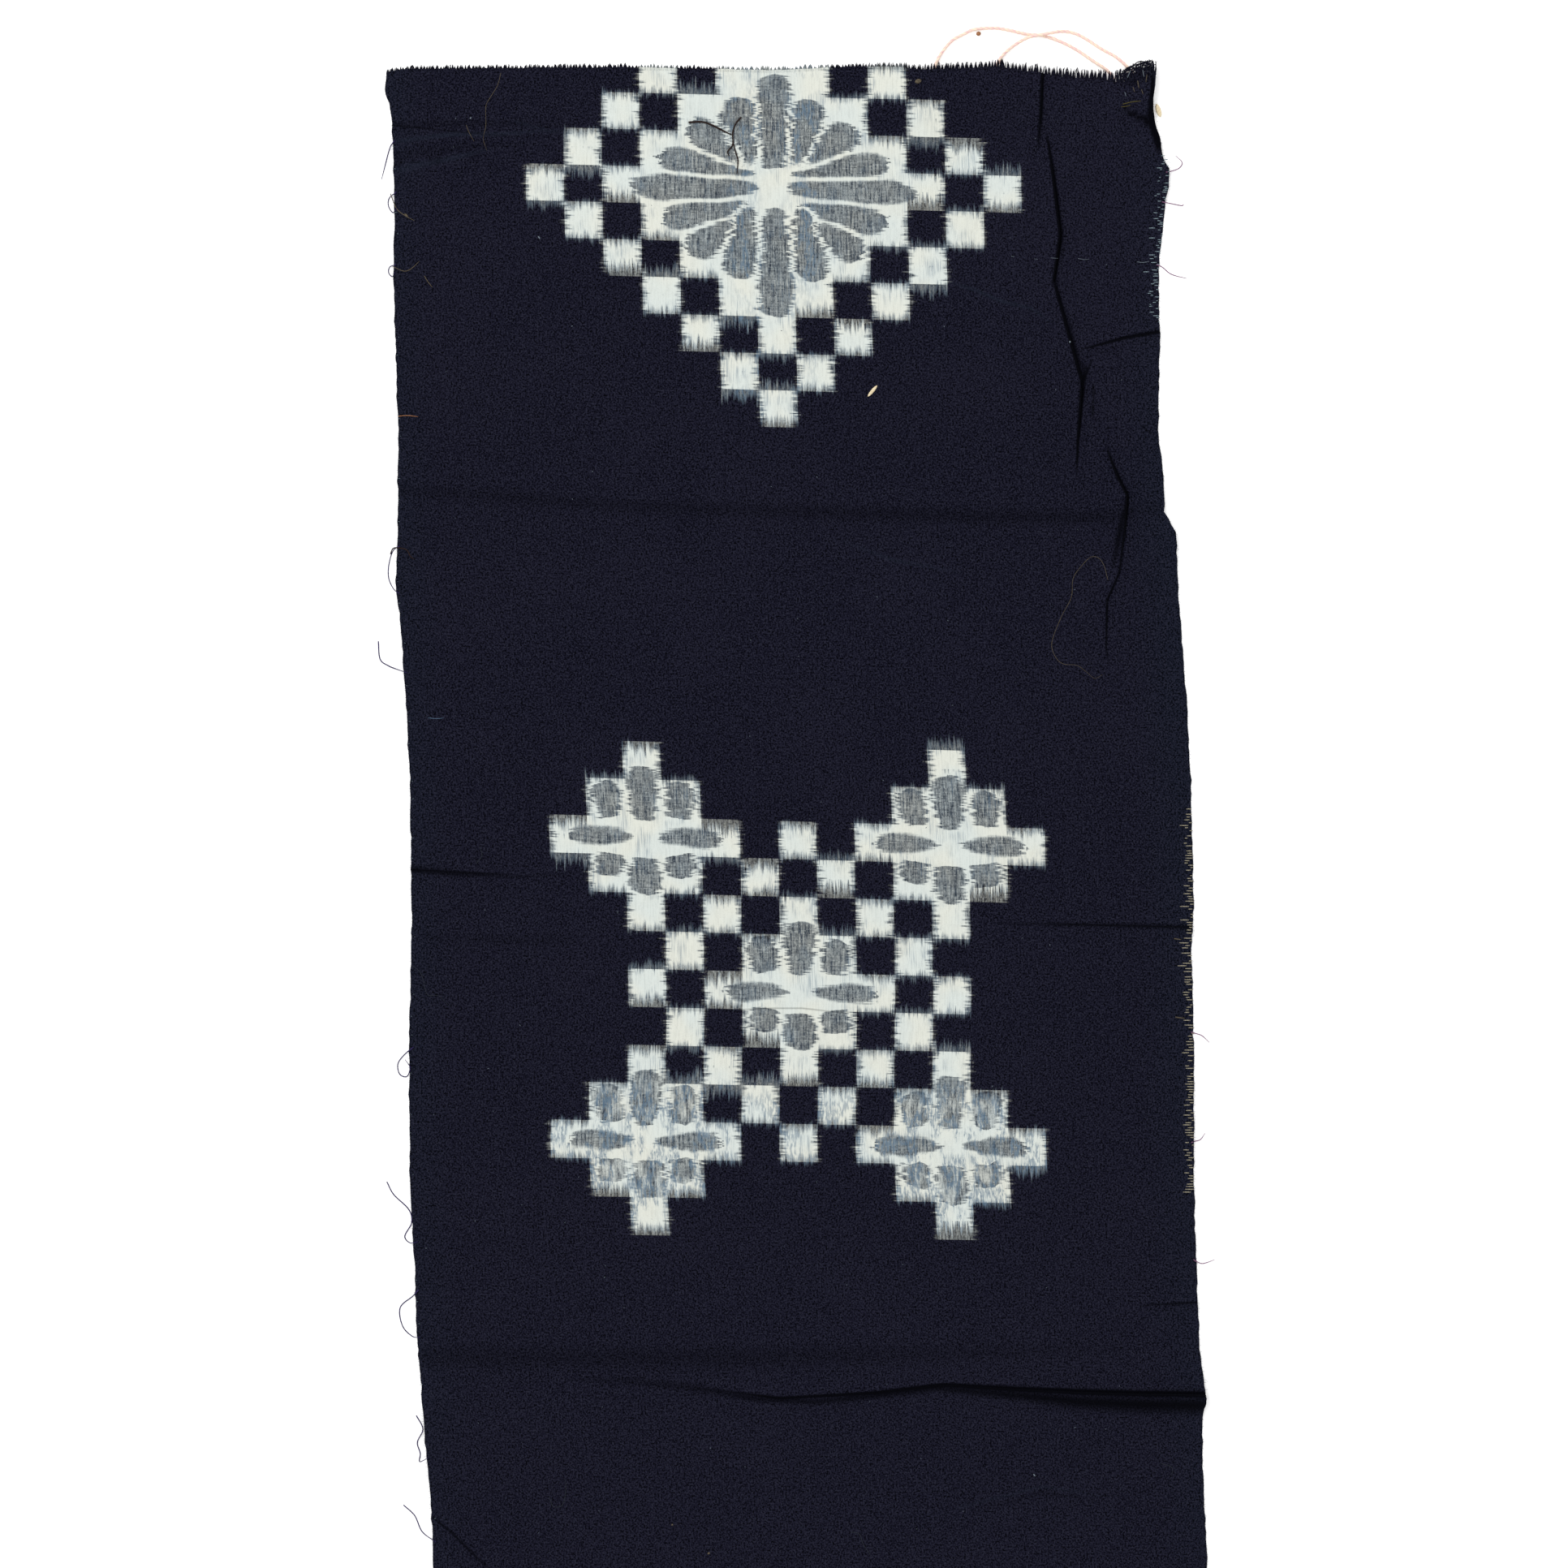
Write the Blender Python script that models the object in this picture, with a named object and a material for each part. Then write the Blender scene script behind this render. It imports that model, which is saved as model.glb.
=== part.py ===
"""A cut length of narrow-loom cotton kasuri, lying face up on a flat surface.

The cloth is one sheet, a selvedge down each long side and a raw cut across each end. It lies in
the soft creases of its storage: a long tuck down the upper right, a short one below it, and a
low fold across the lower third. Its top end is lifted a little by two loose tacking threads,
which loop out beyond the raw edge and go back under it.

Tables are in millimetres, in a plan whose x runs across the cloth and y along it towards the
end with the threads. The finished part stands on z = 0 with its origin under its middle.
"""

from collections import namedtuple

import bpy
from mathutils import Vector

MM = 0.001

CLOTH_THICKNESS = 1.0
CLOTH_COLOUR = (0.0090, 0.0095, 0.0180)
CLOTH_ROUGHNESS = 0.95

THREAD_DIAMETER = 1.0
THREAD_COLOUR = (0.66, 0.50, 0.38)
THREAD_ROUGHNESS = 0.90
THREAD_POINT_SPACING = 2.4
STEPS_BETWEEN_KNOTS = 8
FLOOR_CLEARANCE = 0.05

WIDE_COLUMNS = 14
NARROW_COLUMNS = 2
ROW_SPACING = 15.0
CLOSEST_LINES = 2.2

# A row of the grid shifts by this much at one x, to follow an end or a fold
Bend = namedtuple("Bend", "mark shift")

# Outline

Side = namedtuple("Side", "y left right")
SIDES = (
    Side(319.0, -173.0, 164.0),
    Side(306.4, -175.8, 162.6),
    Side(288.5, -174.0, 165.8),
    Side(270.6, -172.2, 169.7),
    Side(252.7, -171.8, 167.2),
    Side(225.9, -172.2, 165.0),
    Side(190.1, -171.1, 165.8),
    Side(154.3, -170.0, 165.0),
    Side(136.4, -170.4, 167.2),
    Side(118.5, -170.4, 167.9),
    Side(109.5, -170.4, 172.9),
    Side(91.6, -171.5, 173.6),
    Side(73.7, -169.3, 174.7),
    Side(37.9, -166.8, 177.6),
    Side(2.1, -165.0, 179.4),
    Side(-51.6, -164.3, 180.8),
    Side(-69.5, -164.3, 179.7),
    Side(-114.2, -165.4, 180.8),
    Side(-176.9, -165.0, 180.8),
    Side(-212.7, -162.9, 181.9),
    Side(-248.5, -161.8, 183.3),
    Side(-266.4, -160.0, 186.4),
    Side(-275.3, -159.7, 184.4),
    Side(-311.1, -156.4, 185.1),
    Side(-329.0, -155.0, 186.2),
    Side(-380.0, -154.6, 187.4),
)

End = namedtuple("End", "x y")
TOP_END = (
    End(-174.0, 315.8),
    End(-165.0, 316.6),
    End(-70.2, 317.4),
    End(-3.9, 316.1),
    End(31.9, 317.9),
    End(58.7, 317.2),
    End(94.5, 319.0),
    End(121.4, 315.4),
    End(147.5, 314.3),
    End(157.2, 318.4),
    End(164.0, 319.0),
)
CUT_END = (End(-154.6, -379.0), End(20.0, -380.0), End(187.4, -378.4))

# Folds

Station = namedtuple("Station", "at line rise")
Fold = namedtuple("Fold", "name runs steep_side gentle_side stations")
FOLDS = (
    Fold("long tuck", "along", 3.0, 6.0, (
        Station(320.0, 113.8, 1.2),
        Station(296.0, 112.8, 1.4),
        Station(283.0, 113.5, 0.8),
        Station(270.0, 118.0, 1.8),
        Station(242.0, 121.4, 2.6),
        Station(222.0, 118.5, 2.0),
        Station(195.0, 126.0, 2.6),
        Station(177.0, 131.0, 2.6),
        Station(152.0, 129.2, 1.4),
        Station(134.0, 128.9, 0.0),
    )),
    Fold("short tuck", "along", 3.0, 6.0, (
        Station(150.0, 142.0, 0.0),
        Station(146.0, 142.8, 1.0),
        Station(136.0, 146.4, 2.0),
        Station(127.0, 151.0, 2.4),
        Station(113.0, 150.0, 2.0),
        Station(93.0, 147.5, 1.6),
        Station(81.0, 142.1, 1.2),
        Station(59.0, 141.8, 0.8),
        Station(50.0, 143.9, 0.0),
    )),
    Fold("low fold", "across", 4.0, 8.0, (
        Station(-95.0, -265.0, 0.0),
        Station(-31.0, -266.0, 0.6),
        Station(-2.0, -270.0, 1.2),
        Station(41.0, -268.0, 1.4),
        Station(77.0, -264.0, 1.8),
        Station(120.0, -266.4, 2.8),
        Station(155.0, -269.0, 3.4),
        Station(187.0, -269.2, 3.8),
    )),
    Fold("upper side crease", "across", 4.0, 5.0, (
        Station(130.0, 191.5, 0.0),
        Station(136.0, 192.6, 0.8),
        Station(150.0, 196.2, 1.3),
        Station(166.0, 199.0, 1.2),
    )),
    Fold("left top ripple", "across", 5.0, 6.0, (
        Station(-175.0, 290.3, 0.9),
        Station(-130.0, 286.0, 0.6),
        Station(-85.0, 283.0, 0.0),
    )),
    Fold("left side crease", "across", 4.0, 6.0, (
        Station(-166.0, -38.0, 1.2),
        Station(-140.0, -39.4, 0.6),
        Station(-112.0, -40.8, 0.0),
    )),
    Fold("right side crease", "across", 4.0, 6.0, (
        Station(92.0, -61.2, 0.0),
        Station(130.0, -62.2, 0.7),
        Station(181.0, -63.4, 1.4),
    )),
    Fold("low side crease", "across", 4.0, 6.0, (
        Station(148.0, -230.9, 0.0),
        Station(166.0, -229.8, 0.8),
        Station(184.0, -228.8, 1.1),
    )),
)

# A selvedge doesn't lie dead flat: each row is a place where it lifts, and how far along
Ripple = namedtuple("Ripple", "side y half_length rise")
RIPPLES = (
    Ripple("right", 271.0, 22.0, 1.4),
    Ripple("right", 112.0, 18.0, 1.8),
    Ripple("right", -150.0, 40.0, 0.6),
    Ripple("right", -268.0, 16.0, 1.6),
    Ripple("left", 240.0, 34.0, 0.7),
    Ripple("left", 60.0, 30.0, 0.6),
    Ripple("left", -290.0, 44.0, 1.0),
)
RIPPLE_REACH = 16.0

# The top end rests on the threads, and its right corner curls up
Lift = namedtuple("Lift", "x rise")
TOP_LIFT = (
    Lift(34.0, 0.0),
    Lift(56.0, 1.9),
    Lift(104.0, 1.9),
    Lift(122.0, 1.5),
    Lift(136.0, 2.0),
    Lift(152.0, 2.4),
    Lift(164.0, 3.6),
)
TOP_LIFT_LEVEL = 11.0
TOP_LIFT_REACH = 34.0

# Threads: every point is the middle of the thread, chosen by hand along its run

Route = namedtuple("Route", "x y z")
LYING = FLOOR_CLEARANCE + THREAD_DIAMETER / 2.0
CROSSING = LYING + THREAD_DIAMETER + 0.35
THREAD_A = (
    Route(65.9, 308.6, LYING),
    Route(66.4, 312.9, LYING),
    Route(67.2, 317.9, LYING),
    Route(69.3, 322.2, LYING),
    Route(73.9, 327.7, LYING),
    Route(79.0, 330.6, LYING),
    Route(84.1, 332.8, LYING),
    Route(92.5, 333.4, LYING),
    Route(98.5, 332.6, LYING),
    Route(107.7, 330.6, LYING),
    Route(113.6, 330.1, LYING),
    Route(121.2, 327.7, LYING),
    Route(128.8, 323.9, LYING),
    Route(136.4, 318.8, LYING),
    Route(142.3, 314.9, LYING),
    Route(145.0, 311.1, LYING),
    Route(146.4, 307.2, LYING),
)
THREAD_B = (
    Route(93.1, 308.6, LYING),
    Route(93.6, 313.6, LYING),
    Route(94.6, 318.4, LYING),
    Route(97.6, 322.6, LYING),
    Route(102.6, 326.4, LYING + 0.75),
    Route(107.7, 329.0, CROSSING),
    Route(112.8, 330.2, CROSSING),
    Route(117.9, 331.1, CROSSING - 0.25),
    Route(122.9, 331.9, LYING + 0.45),
    Route(128.0, 331.1, LYING),
    Route(133.0, 328.7, LYING),
    Route(139.8, 324.3, LYING),
    Route(146.6, 320.5, LYING),
    Route(151.6, 316.0, LYING),
    Route(154.3, 312.2, LYING),
    Route(155.7, 307.9, LYING),
)


def read_table(rows, key, value, at):
    """The value at one place of a table, straight between its rows and level past its ends."""
    ordered = sorted(rows, key=lambda row: getattr(row, key))
    first, last = ordered[0], ordered[-1]
    if at <= getattr(first, key):
        return getattr(first, value)
    for low, high in zip(ordered, ordered[1:]):
        near, far = getattr(low, key), getattr(high, key)
        if at <= far:
            share = (at - near) / (far - near)
            return getattr(low, value) * (1.0 - share) + getattr(high, value) * share
    return getattr(last, value)


def mound(distance, reach):
    """1 at the middle, easing to 0 at the reach and level beyond it."""
    share = min(1.0, abs(distance) / reach)
    return (1.0 - share * share) ** 2


def fold_rise(fold, x, y):
    """How far one fold lifts the cloth at a place of the plan."""
    at, across = (y, x) if fold.runs == "along" else (x, y)
    rise = read_table(fold.stations, "at", "rise", at)
    ends = [station.at for station in fold.stations]
    if not min(ends) <= at <= max(ends):
        rise = 0.0
    distance = across - read_table(fold.stations, "at", "line", at)
    return rise * mound(distance, fold.steep_side if distance > 0 else fold.gentle_side)


def top_rise(x, y):
    """The lift of the top end over the threads, level near the edge and easing to the flat."""
    inward = read_table(TOP_END, "x", "y", x) - y
    fall = max(0.0, inward - TOP_LIFT_LEVEL)
    return read_table(TOP_LIFT, "x", "rise", x) * mound(fall, TOP_LIFT_REACH - TOP_LIFT_LEVEL)


def ripple_rise(x, y):
    """The lift of the selvedges at their ripples."""
    total = 0.0
    for ripple in RIPPLES:
        inward = abs(x - read_table(SIDES, "y", ripple.side, y))
        total += ripple.rise * mound(inward, RIPPLE_REACH) * mound(y - ripple.y, ripple.half_length)
    return total


def rise(x, y):
    """The height of the cloth's underside over the surface that it lies on."""
    return sum(fold_rise(fold, x, y) for fold in FOLDS) + top_rise(x, y) + ripple_rise(x, y)


def thinned(places, closest):
    """The places in order, without those that crowd the one before; both ends stay."""
    ordered = sorted(places)
    kept = [ordered[0]]
    for place in ordered[1:-1]:
        if place - kept[-1] >= closest and ordered[-1] - place >= closest:
            kept.append(place)
    return kept + [ordered[-1]]


def spread(start, end, count):
    """Even places from start to end, with this many steps."""
    return [start + (end - start) * step / count for step in range(count + 1)]


def band(fold):
    """The distances from a fold's line at which the sheet has a grid line of its own."""
    return (-fold.gentle_side, -fold.gentle_side / 2, 0.0, fold.steep_side / 2, fold.steep_side)


def across_line(y):
    """The x of each column of the grid at one height of the plan, in order."""
    left = read_table(SIDES, "y", "left", y)
    right = read_table(SIDES, "y", "right", y)
    tucks = [fold for fold in FOLDS if fold.runs == "along"]
    lines = [read_table(fold.stations, "at", "line", y) for fold in tucks]
    columns = spread(left, lines[0] - tucks[0].gentle_side, WIDE_COLUMNS)[:-1]
    columns += [lines[0] + offset for offset in band(tucks[0])]
    columns += [lines[1] + offset for offset in band(tucks[1])]
    columns += spread(lines[1] + tucks[1].steep_side, right, NARROW_COLUMNS)[1:]
    return columns


def row_marks():
    """The heights of the grid's rows, before they bend to follow the folds and the ends."""
    marks = [middle_line(fold) + offset for fold in crossing_folds() for offset in band(fold)]
    bottom, top = end_heights()
    inward = (0.5 * TOP_LIFT_LEVEL, TOP_LIFT_LEVEL, 1.6 * TOP_LIFT_LEVEL, 0.75 * TOP_LIFT_REACH)
    marks += [top - distance for distance in inward]
    taken = sorted(marks)
    for low, high in zip([bottom] + taken, taken + [top]):
        marks += spread(low, high, max(1, round((high - low) / ROW_SPACING)))[1:-1]
    return thinned([bottom] + marks + [top], CLOSEST_LINES)


def crossing_folds():
    """The folds that run across the cloth."""
    return [fold for fold in FOLDS if fold.runs == "across"]


def middle_line(fold):
    """Where a fold's line is at the middle of its stations."""
    return fold.stations[len(fold.stations) // 2].line


def end_heights():
    """The furthest y of the cut end and of the top end."""
    return min(end.y for end in CUT_END), max(end.y for end in TOP_END)


def row_bends(x):
    """How far the rows shift at one x, so that they follow the two ends and each fold's line."""
    bottom, top = end_heights()
    bends = [Bend(bottom, read_table(CUT_END, "x", "y", x) - bottom)]
    bends.append(Bend(top, read_table(TOP_END, "x", "y", x) - top))
    for fold in crossing_folds():
        middle = middle_line(fold)
        shift = read_table(fold.stations, "at", "line", x) - middle
        bends.append(Bend(middle - fold.gentle_side, shift))
        bends.append(Bend(middle + fold.steep_side, shift))
    return bends


def plan_grid():
    """The plan's points, a list for each row from the cut end to the top end."""
    grid = []
    for mark in row_marks():
        columns = across_line(mark)
        grid.append([(x, mark + read_table(row_bends(x), "mark", "shift", mark)) for x in columns])
    return grid


def sheet_mesh(name, grid, thickness):
    """One closed sheet over a grid of plan points, risen into its folds."""
    rows, columns = len(grid), len(grid[0])
    points = [(x, y, rise(x, y)) for row in grid for x, y in row]
    under = [(x * MM, y * MM, z * MM) for x, y, z in points]
    over = [(x * MM, y * MM, (z + thickness) * MM) for x, y, z in points]
    count = len(points)
    faces = []
    for r in range(rows - 1):
        for c in range(columns - 1):
            a, b = r * columns + c, r * columns + c + 1
            d, e = a + columns, b + columns
            faces += [(a, e, b), (a, d, e)]
            faces += [(a + count, b + count, e + count), (a + count, e + count, d + count)]
    rim = [c for c in range(columns)]
    rim += [r * columns + columns - 1 for r in range(1, rows)]
    rim += [(rows - 1) * columns + c for c in range(columns - 2, -1, -1)]
    rim += [r * columns for r in range(rows - 2, 0, -1)]
    for a, b in zip(rim, rim[1:] + rim[:1]):
        faces.append((a, b, b + count, a + count))
    mesh = bpy.data.meshes.new(name)
    mesh.from_pydata(under + over, [], faces)
    mesh.validate()
    mesh.update()
    return mesh


def finish(name, colour, roughness):
    """A plain cloth or thread material."""
    material = bpy.data.materials.new(name)
    material.use_nodes = True
    shader = material.node_tree.nodes["Principled BSDF"]
    shader.inputs["Base Color"].default_value = (*colour, 1.0)
    shader.inputs["Roughness"].default_value = roughness
    shader.inputs["Metallic"].default_value = 0.0
    return material


def smooth_path(route):
    """Even points along a smooth curve through a route's own points."""
    knots = [Vector(point) for point in route]
    ends = [knots[0] * 2 - knots[1]] + knots + [knots[-1] * 2 - knots[-2]]
    fine = []
    for before, start, stop, after in zip(ends, ends[1:], ends[2:], ends[3:]):
        for step in range(STEPS_BETWEEN_KNOTS):
            t = step / STEPS_BETWEEN_KNOTS
            bend = (before * -1 + start * 3 - stop * 3 + after) * t ** 3
            bend += (before * 2 - start * 5 + stop * 4 - after) * t ** 2
            bend += (stop - before) * t
            fine.append((bend + start * 2) * 0.5)
    fine.append(knots[-1])
    length = sum((b - a).length for a, b in zip(fine, fine[1:]))
    pieces = round(length / THREAD_POINT_SPACING)
    path, run, wanted = [fine[0]], 0.0, length / pieces
    for a, b in zip(fine, fine[1:]):
        part = (b - a).length
        while run + part >= wanted and len(path) < pieces:
            path.append(a.lerp(b, (wanted - run) / part))
            wanted += length / pieces
        run += part
    return path + [fine[-1]]


def add_thread(name, route, material):
    """A round thread that lies along its route."""
    path = smooth_path(route)
    curve = bpy.data.curves.new(name, "CURVE")
    curve.dimensions = "3D"
    curve.bevel_depth = THREAD_DIAMETER / 2.0 * MM
    curve.bevel_resolution = 2
    curve.use_fill_caps = True
    spline = curve.splines.new("POLY")
    spline.points.add(len(path) - 1)
    for point, place in zip(spline.points, path):
        point.co = (*(place * MM), 1.0)
    curve.materials.append(material)
    thread = bpy.data.objects.new(name, curve)
    bpy.context.collection.objects.link(thread)
    return thread


def add_cloth(material):
    """The cloth, as one sheet in its folds."""
    mesh = sheet_mesh("cloth", plan_grid(), CLOTH_THICKNESS)
    mesh.materials.append(material)
    mesh.shade_smooth()
    cloth = bpy.data.objects.new("cloth", mesh)
    bpy.context.collection.objects.link(cloth)
    return cloth


def plan_middle(mesh):
    """The middle of a mesh's plan, which becomes the part's origin."""
    xs = [vertex.co.x for vertex in mesh.vertices]
    ys = [vertex.co.y for vertex in mesh.vertices]
    return Vector(((min(xs) + max(xs)) / 2.0, (min(ys) + max(ys)) / 2.0, 0.0))


def build():
    for old in list(bpy.data.objects):
        bpy.data.objects.remove(old, do_unlink=True)
    cotton = finish("indigo_cotton", CLOTH_COLOUR, CLOTH_ROUGHNESS)
    cream = finish("cream_thread", THREAD_COLOUR, THREAD_ROUGHNESS)
    cloth = add_cloth(cotton)
    threads = [
        add_thread("thread_loop_a", THREAD_A, cream),
        add_thread("thread_loop_b", THREAD_B, cream),
    ]
    middle = plan_middle(cloth.data)
    for piece in [cloth] + threads:
        piece.location = -middle


build()
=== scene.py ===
"""A cut length of narrow-loom cotton kasuri, lying face up in its storage creases.

The cloth is one thin woven sheet. Its pattern isn't printed: the warp and the weft are each
tied, dyed with indigo and woven, so a place is white where both yarns were tied, indigo where
neither was, and grey where they cross unlike. The material works the same way, one yarn at a
time. Tables are in millimetres, in a plan whose middle is the middle of the view.
"""

import math
import random
from collections import namedtuple
from functools import partialmethod

import bpy
import numpy as np
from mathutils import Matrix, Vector


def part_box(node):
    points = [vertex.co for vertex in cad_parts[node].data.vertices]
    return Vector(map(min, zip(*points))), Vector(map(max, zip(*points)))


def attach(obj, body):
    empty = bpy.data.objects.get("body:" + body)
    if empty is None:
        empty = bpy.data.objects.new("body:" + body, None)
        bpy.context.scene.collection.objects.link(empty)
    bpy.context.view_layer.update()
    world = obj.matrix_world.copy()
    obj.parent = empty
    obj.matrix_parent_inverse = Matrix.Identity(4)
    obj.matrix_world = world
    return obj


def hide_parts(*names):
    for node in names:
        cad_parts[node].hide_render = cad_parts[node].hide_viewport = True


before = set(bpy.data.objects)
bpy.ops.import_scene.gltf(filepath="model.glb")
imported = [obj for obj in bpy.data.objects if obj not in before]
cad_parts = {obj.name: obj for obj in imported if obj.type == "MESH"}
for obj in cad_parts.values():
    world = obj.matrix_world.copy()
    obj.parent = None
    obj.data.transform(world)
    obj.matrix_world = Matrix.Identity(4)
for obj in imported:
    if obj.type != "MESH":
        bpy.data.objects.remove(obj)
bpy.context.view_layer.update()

bl_info = {
    "name": "Kasuri Cloth",
    "version": (1, 0, 0),
    "blender": (4, 5, 0),
    "location": "View3D > Sidebar > Kasuri",
    "description": "Builds a length of double ikat cotton with its creases and loose yarns",
    "category": "Object",
}

MM = 0.001

# Outline of the cloth


def rows(kind, *values):
    """The rows of a table, from their values in the order of the kind's fields."""
    return tuple(kind(*value) for value in values)


Side = namedtuple("Side", "y left right")
SIDES = rows(Side, (319, -175.4, 164), (306.4, -176.1, 162.6), (296.6, -174, 163.4),
    (287.5, -172.8, 165.9), (278.7, -172.8, 167), (274.2, -172.4, 169.7), (263.8, -172, 169.9),
    (259.6, -171.9, 168.3), (244.2, -171.9, 167), (225.9, -172.2, 165.2), (190.1, -171.1, 165.8),
    (154.3, -170, 165), (136.4, -170.4, 167.2), (118.5, -170.4, 167.9), (109.5, -170.4, 172.9),
    (91.6, -171.5, 173.6), (73.7, -169.3, 174.7), (37.9, -166.8, 177.6), (2.1, -165, 179.4),
    (-51.6, -164.3, 180.8), (-69.5, -164.3, 179.7), (-114.2, -165.4, 180.8), (-176.9, -165, 180.8),
    (-212.7, -162.9, 181.9), (-248.5, -161.8, 183.3), (-266.4, -160, 186.4),
    (-275.3, -159.7, 184.4), (-311.1, -156.4, 185.1), (-329, -155, 186.2), (-380, -154.6, 187.4))

End = namedtuple("End", "x y")
TOP_END = rows(End, (-175.4, 315.4), (-165, 316.6), (-70.2, 317.4), (-3.9, 316.1), (31.9, 317.9),
    (58.7, 317.2), (94.5, 319), (121.4, 315.4), (147.5, 314.3), (157.2, 318.4), (164, 319))
CUT_END = rows(End, (-154.6, -379), (20, -380), (187.4, -378.4))

# Folds. A crease is the share of a fold's rise that drops at its line in a sharp pinch

# A station's shade is the width of the dark line painted as shade in the fold's crease
Station = namedtuple("Station", "at line rise shade")
Fold = namedtuple("Fold", "name runs steep_side gentle_side crease stations")


def fold_row(name, runs, steep_side, gentle_side, crease, *stations):
    """A fold and its stations."""
    return Fold(name, runs, steep_side, gentle_side, crease, rows(Station, *stations))


FOLDS = (
    fold_row("upper tuck", "along", 3.0, 6.0, 0.95, (320, 113.8, 1.3, 1), (313, 113.4, 1.4, 1.5),
        (296, 112.8, 1.4, 1.4), (283, 112, 0.8, 0.8), (276, 111.6, 0, 0)),
    fold_row("long tuck", "along", 3.0, 6.0, 0.95, (289, 115.6, 0, 0), (283, 116.2, 0.8, 0.9),
        (270, 118, 1.8, 1.6), (242, 121.4, 2.6, 2), (222, 118.5, 2, 1.6), (195, 126, 2.6, 2.3),
        (177, 131, 2.6, 2.2), (152, 129.2, 1.4, 1.2), (134, 128.9, 0, 0.3)),
    fold_row("short tuck", "along", 3.0, 6.0, 0.95, (150, 142, 0, 0), (146, 142.8, 1, 0.9),
        (136, 146.4, 2, 1.7), (127, 151, 2.4, 1.5), (113, 150, 2, 0.8), (93, 147.5, 1.6, 0.7),
        (81, 142.1, 1.2, 0.9), (59, 141.8, 0.8, 0.6), (50, 143.9, 0, 0)),
    fold_row("low fold", "across", 4.0, 8.0, 0.5, (-95, -263, 0, 0), (-31, -267.2, 0.6, 0.3),
        (-2, -271.2, 1.2, 1), (41, -268.8, 1.4, 1.2), (70, -265.4, 1.7, 1.5), (104, -267.4, 2.4, 2),
        (129, -268.6, 3, 2.3), (158, -269.4, 3.4, 2.4), (187, -269.6, 3.8, 2.4)),
    fold_row("upper side crease", "across", 4.0, 5.0, 0.9, (130, 191.5, 0, 0),
        (136, 192.6, 0.8, 0.8), (150, 196.2, 1.3, 1.3), (166, 199, 1.2, 1.3)),
    fold_row("left top ripple", "across", 5.0, 6.0, 0.5, (-175, 290.3, 0.9, 0.6),
        (-130, 286, 0.6, 0.4), (-85, 283, 0, 0)),
    fold_row("left side crease", "across", 4.0, 6.0, 0.7, (-166, -38, 1.2, 1.3),
        (-140, -39.4, 0.6, 1), (-112, -40.8, 0, 0)),
    fold_row("right side crease", "across", 4.0, 6.0, 0.8, (92, -61.2, 0, 0),
        (130, -62.2, 0.7, 0.6), (181, -63.4, 1.4, 0.6)),
    fold_row("low side crease", "across", 4.0, 6.0, 0.7, (148, -230.9, 0, 0),
        (166, -229.8, 0.8, 0.7), (184, -228.8, 1.1, 0.9)),
)
# The rise from which a fold gets all its close mesh lines, and where the long tuck takes over
SHARP_RISE = 1.25
UPPER_TUCK_END = 286.0
PINCH_WIDTH = 0.85
PINCH_BANK = 1.9
PINCH_BANK_SHARE = 0.6

# Soft creases too low for the solid, and painted crease shades that have no rise of their own
FAINT_FOLDS = (
    fold_row("corner fold", "along", 3.0, 4.0, 0.6, (318, 161.9, 0.4, 0.8), (309, 162, 0.5, 1.2),
        (301, 161.4, 0.6, 3.4), (294, 161.2, 0.7, 5.6), (286, 163, 0.7, 4.6),
        (281, 164.4, 0.5, 2.6), (277, 166.6, 0, 0.8)),
    fold_row("corner dent", "across", 3.0, 3.0, 0.4, (148, 297.2, 0, 0), (150.5, 296.6, 0.3, 1.8),
        (159.5, 291.6, 0.5, 2.8), (163, 289.4, 0.3, 2.6)),
    fold_row("tuck branch", "along", 2.0, 2.5, 0.9, (191, 136, 0, 0), (187, 134.6, 0.9, 0.9),
        (179, 131.2, 0.9, 1.1), (176, 130.6, 0, 0.4)),
    fold_row("shoulder line", "across", 5.0, 5.0, 0.3, (68, 219, 0, 0), (95, 213.5, 0.45, 0),
        (119, 203, 0.35, 0), (124, 201, 0, 0)),
    fold_row("middle line", "across", 5.0, 5.0, 0.3, (26, 107, 0, 0), (48, 98.8, 0.45, 0),
        (78, 93.2, 0, 0)),
    fold_row("second left ripple", "across", 5.0, 6.0, 0.3, (-172, 273.6, 0.6, 0.5),
        (-140, 277, 0.5, 0.4), (-112, 279.6, 0, 0)),
    fold_row("corner line", "across", 4.0, 5.0, 0.5, (-156, -323.5, 0.8, 0), (-131, -345.8, 0.8, 0),
        (-112, -364, 0, 0)),
    fold_row("low right line", "across", 4.0, 5.0, 0.3, (52, -315.5, 0, 0), (110, -310.2, 0.4, 0),
        (136, -313.8, 0, 0)),
    fold_row("middle swell", "across", 16.0, 16.0, 0.0, (-170, 126, 0.5, 0), (0, 121, 0.4, 0),
        (170, 128, 0.5, 0)),
    fold_row("low swell", "across", 13.0, 15.0, 0.0, (-160, -250, 0.4, 0), (60, -249, 0.6, 0),
        (184, -250, 0.5, 0)),
)
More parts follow.
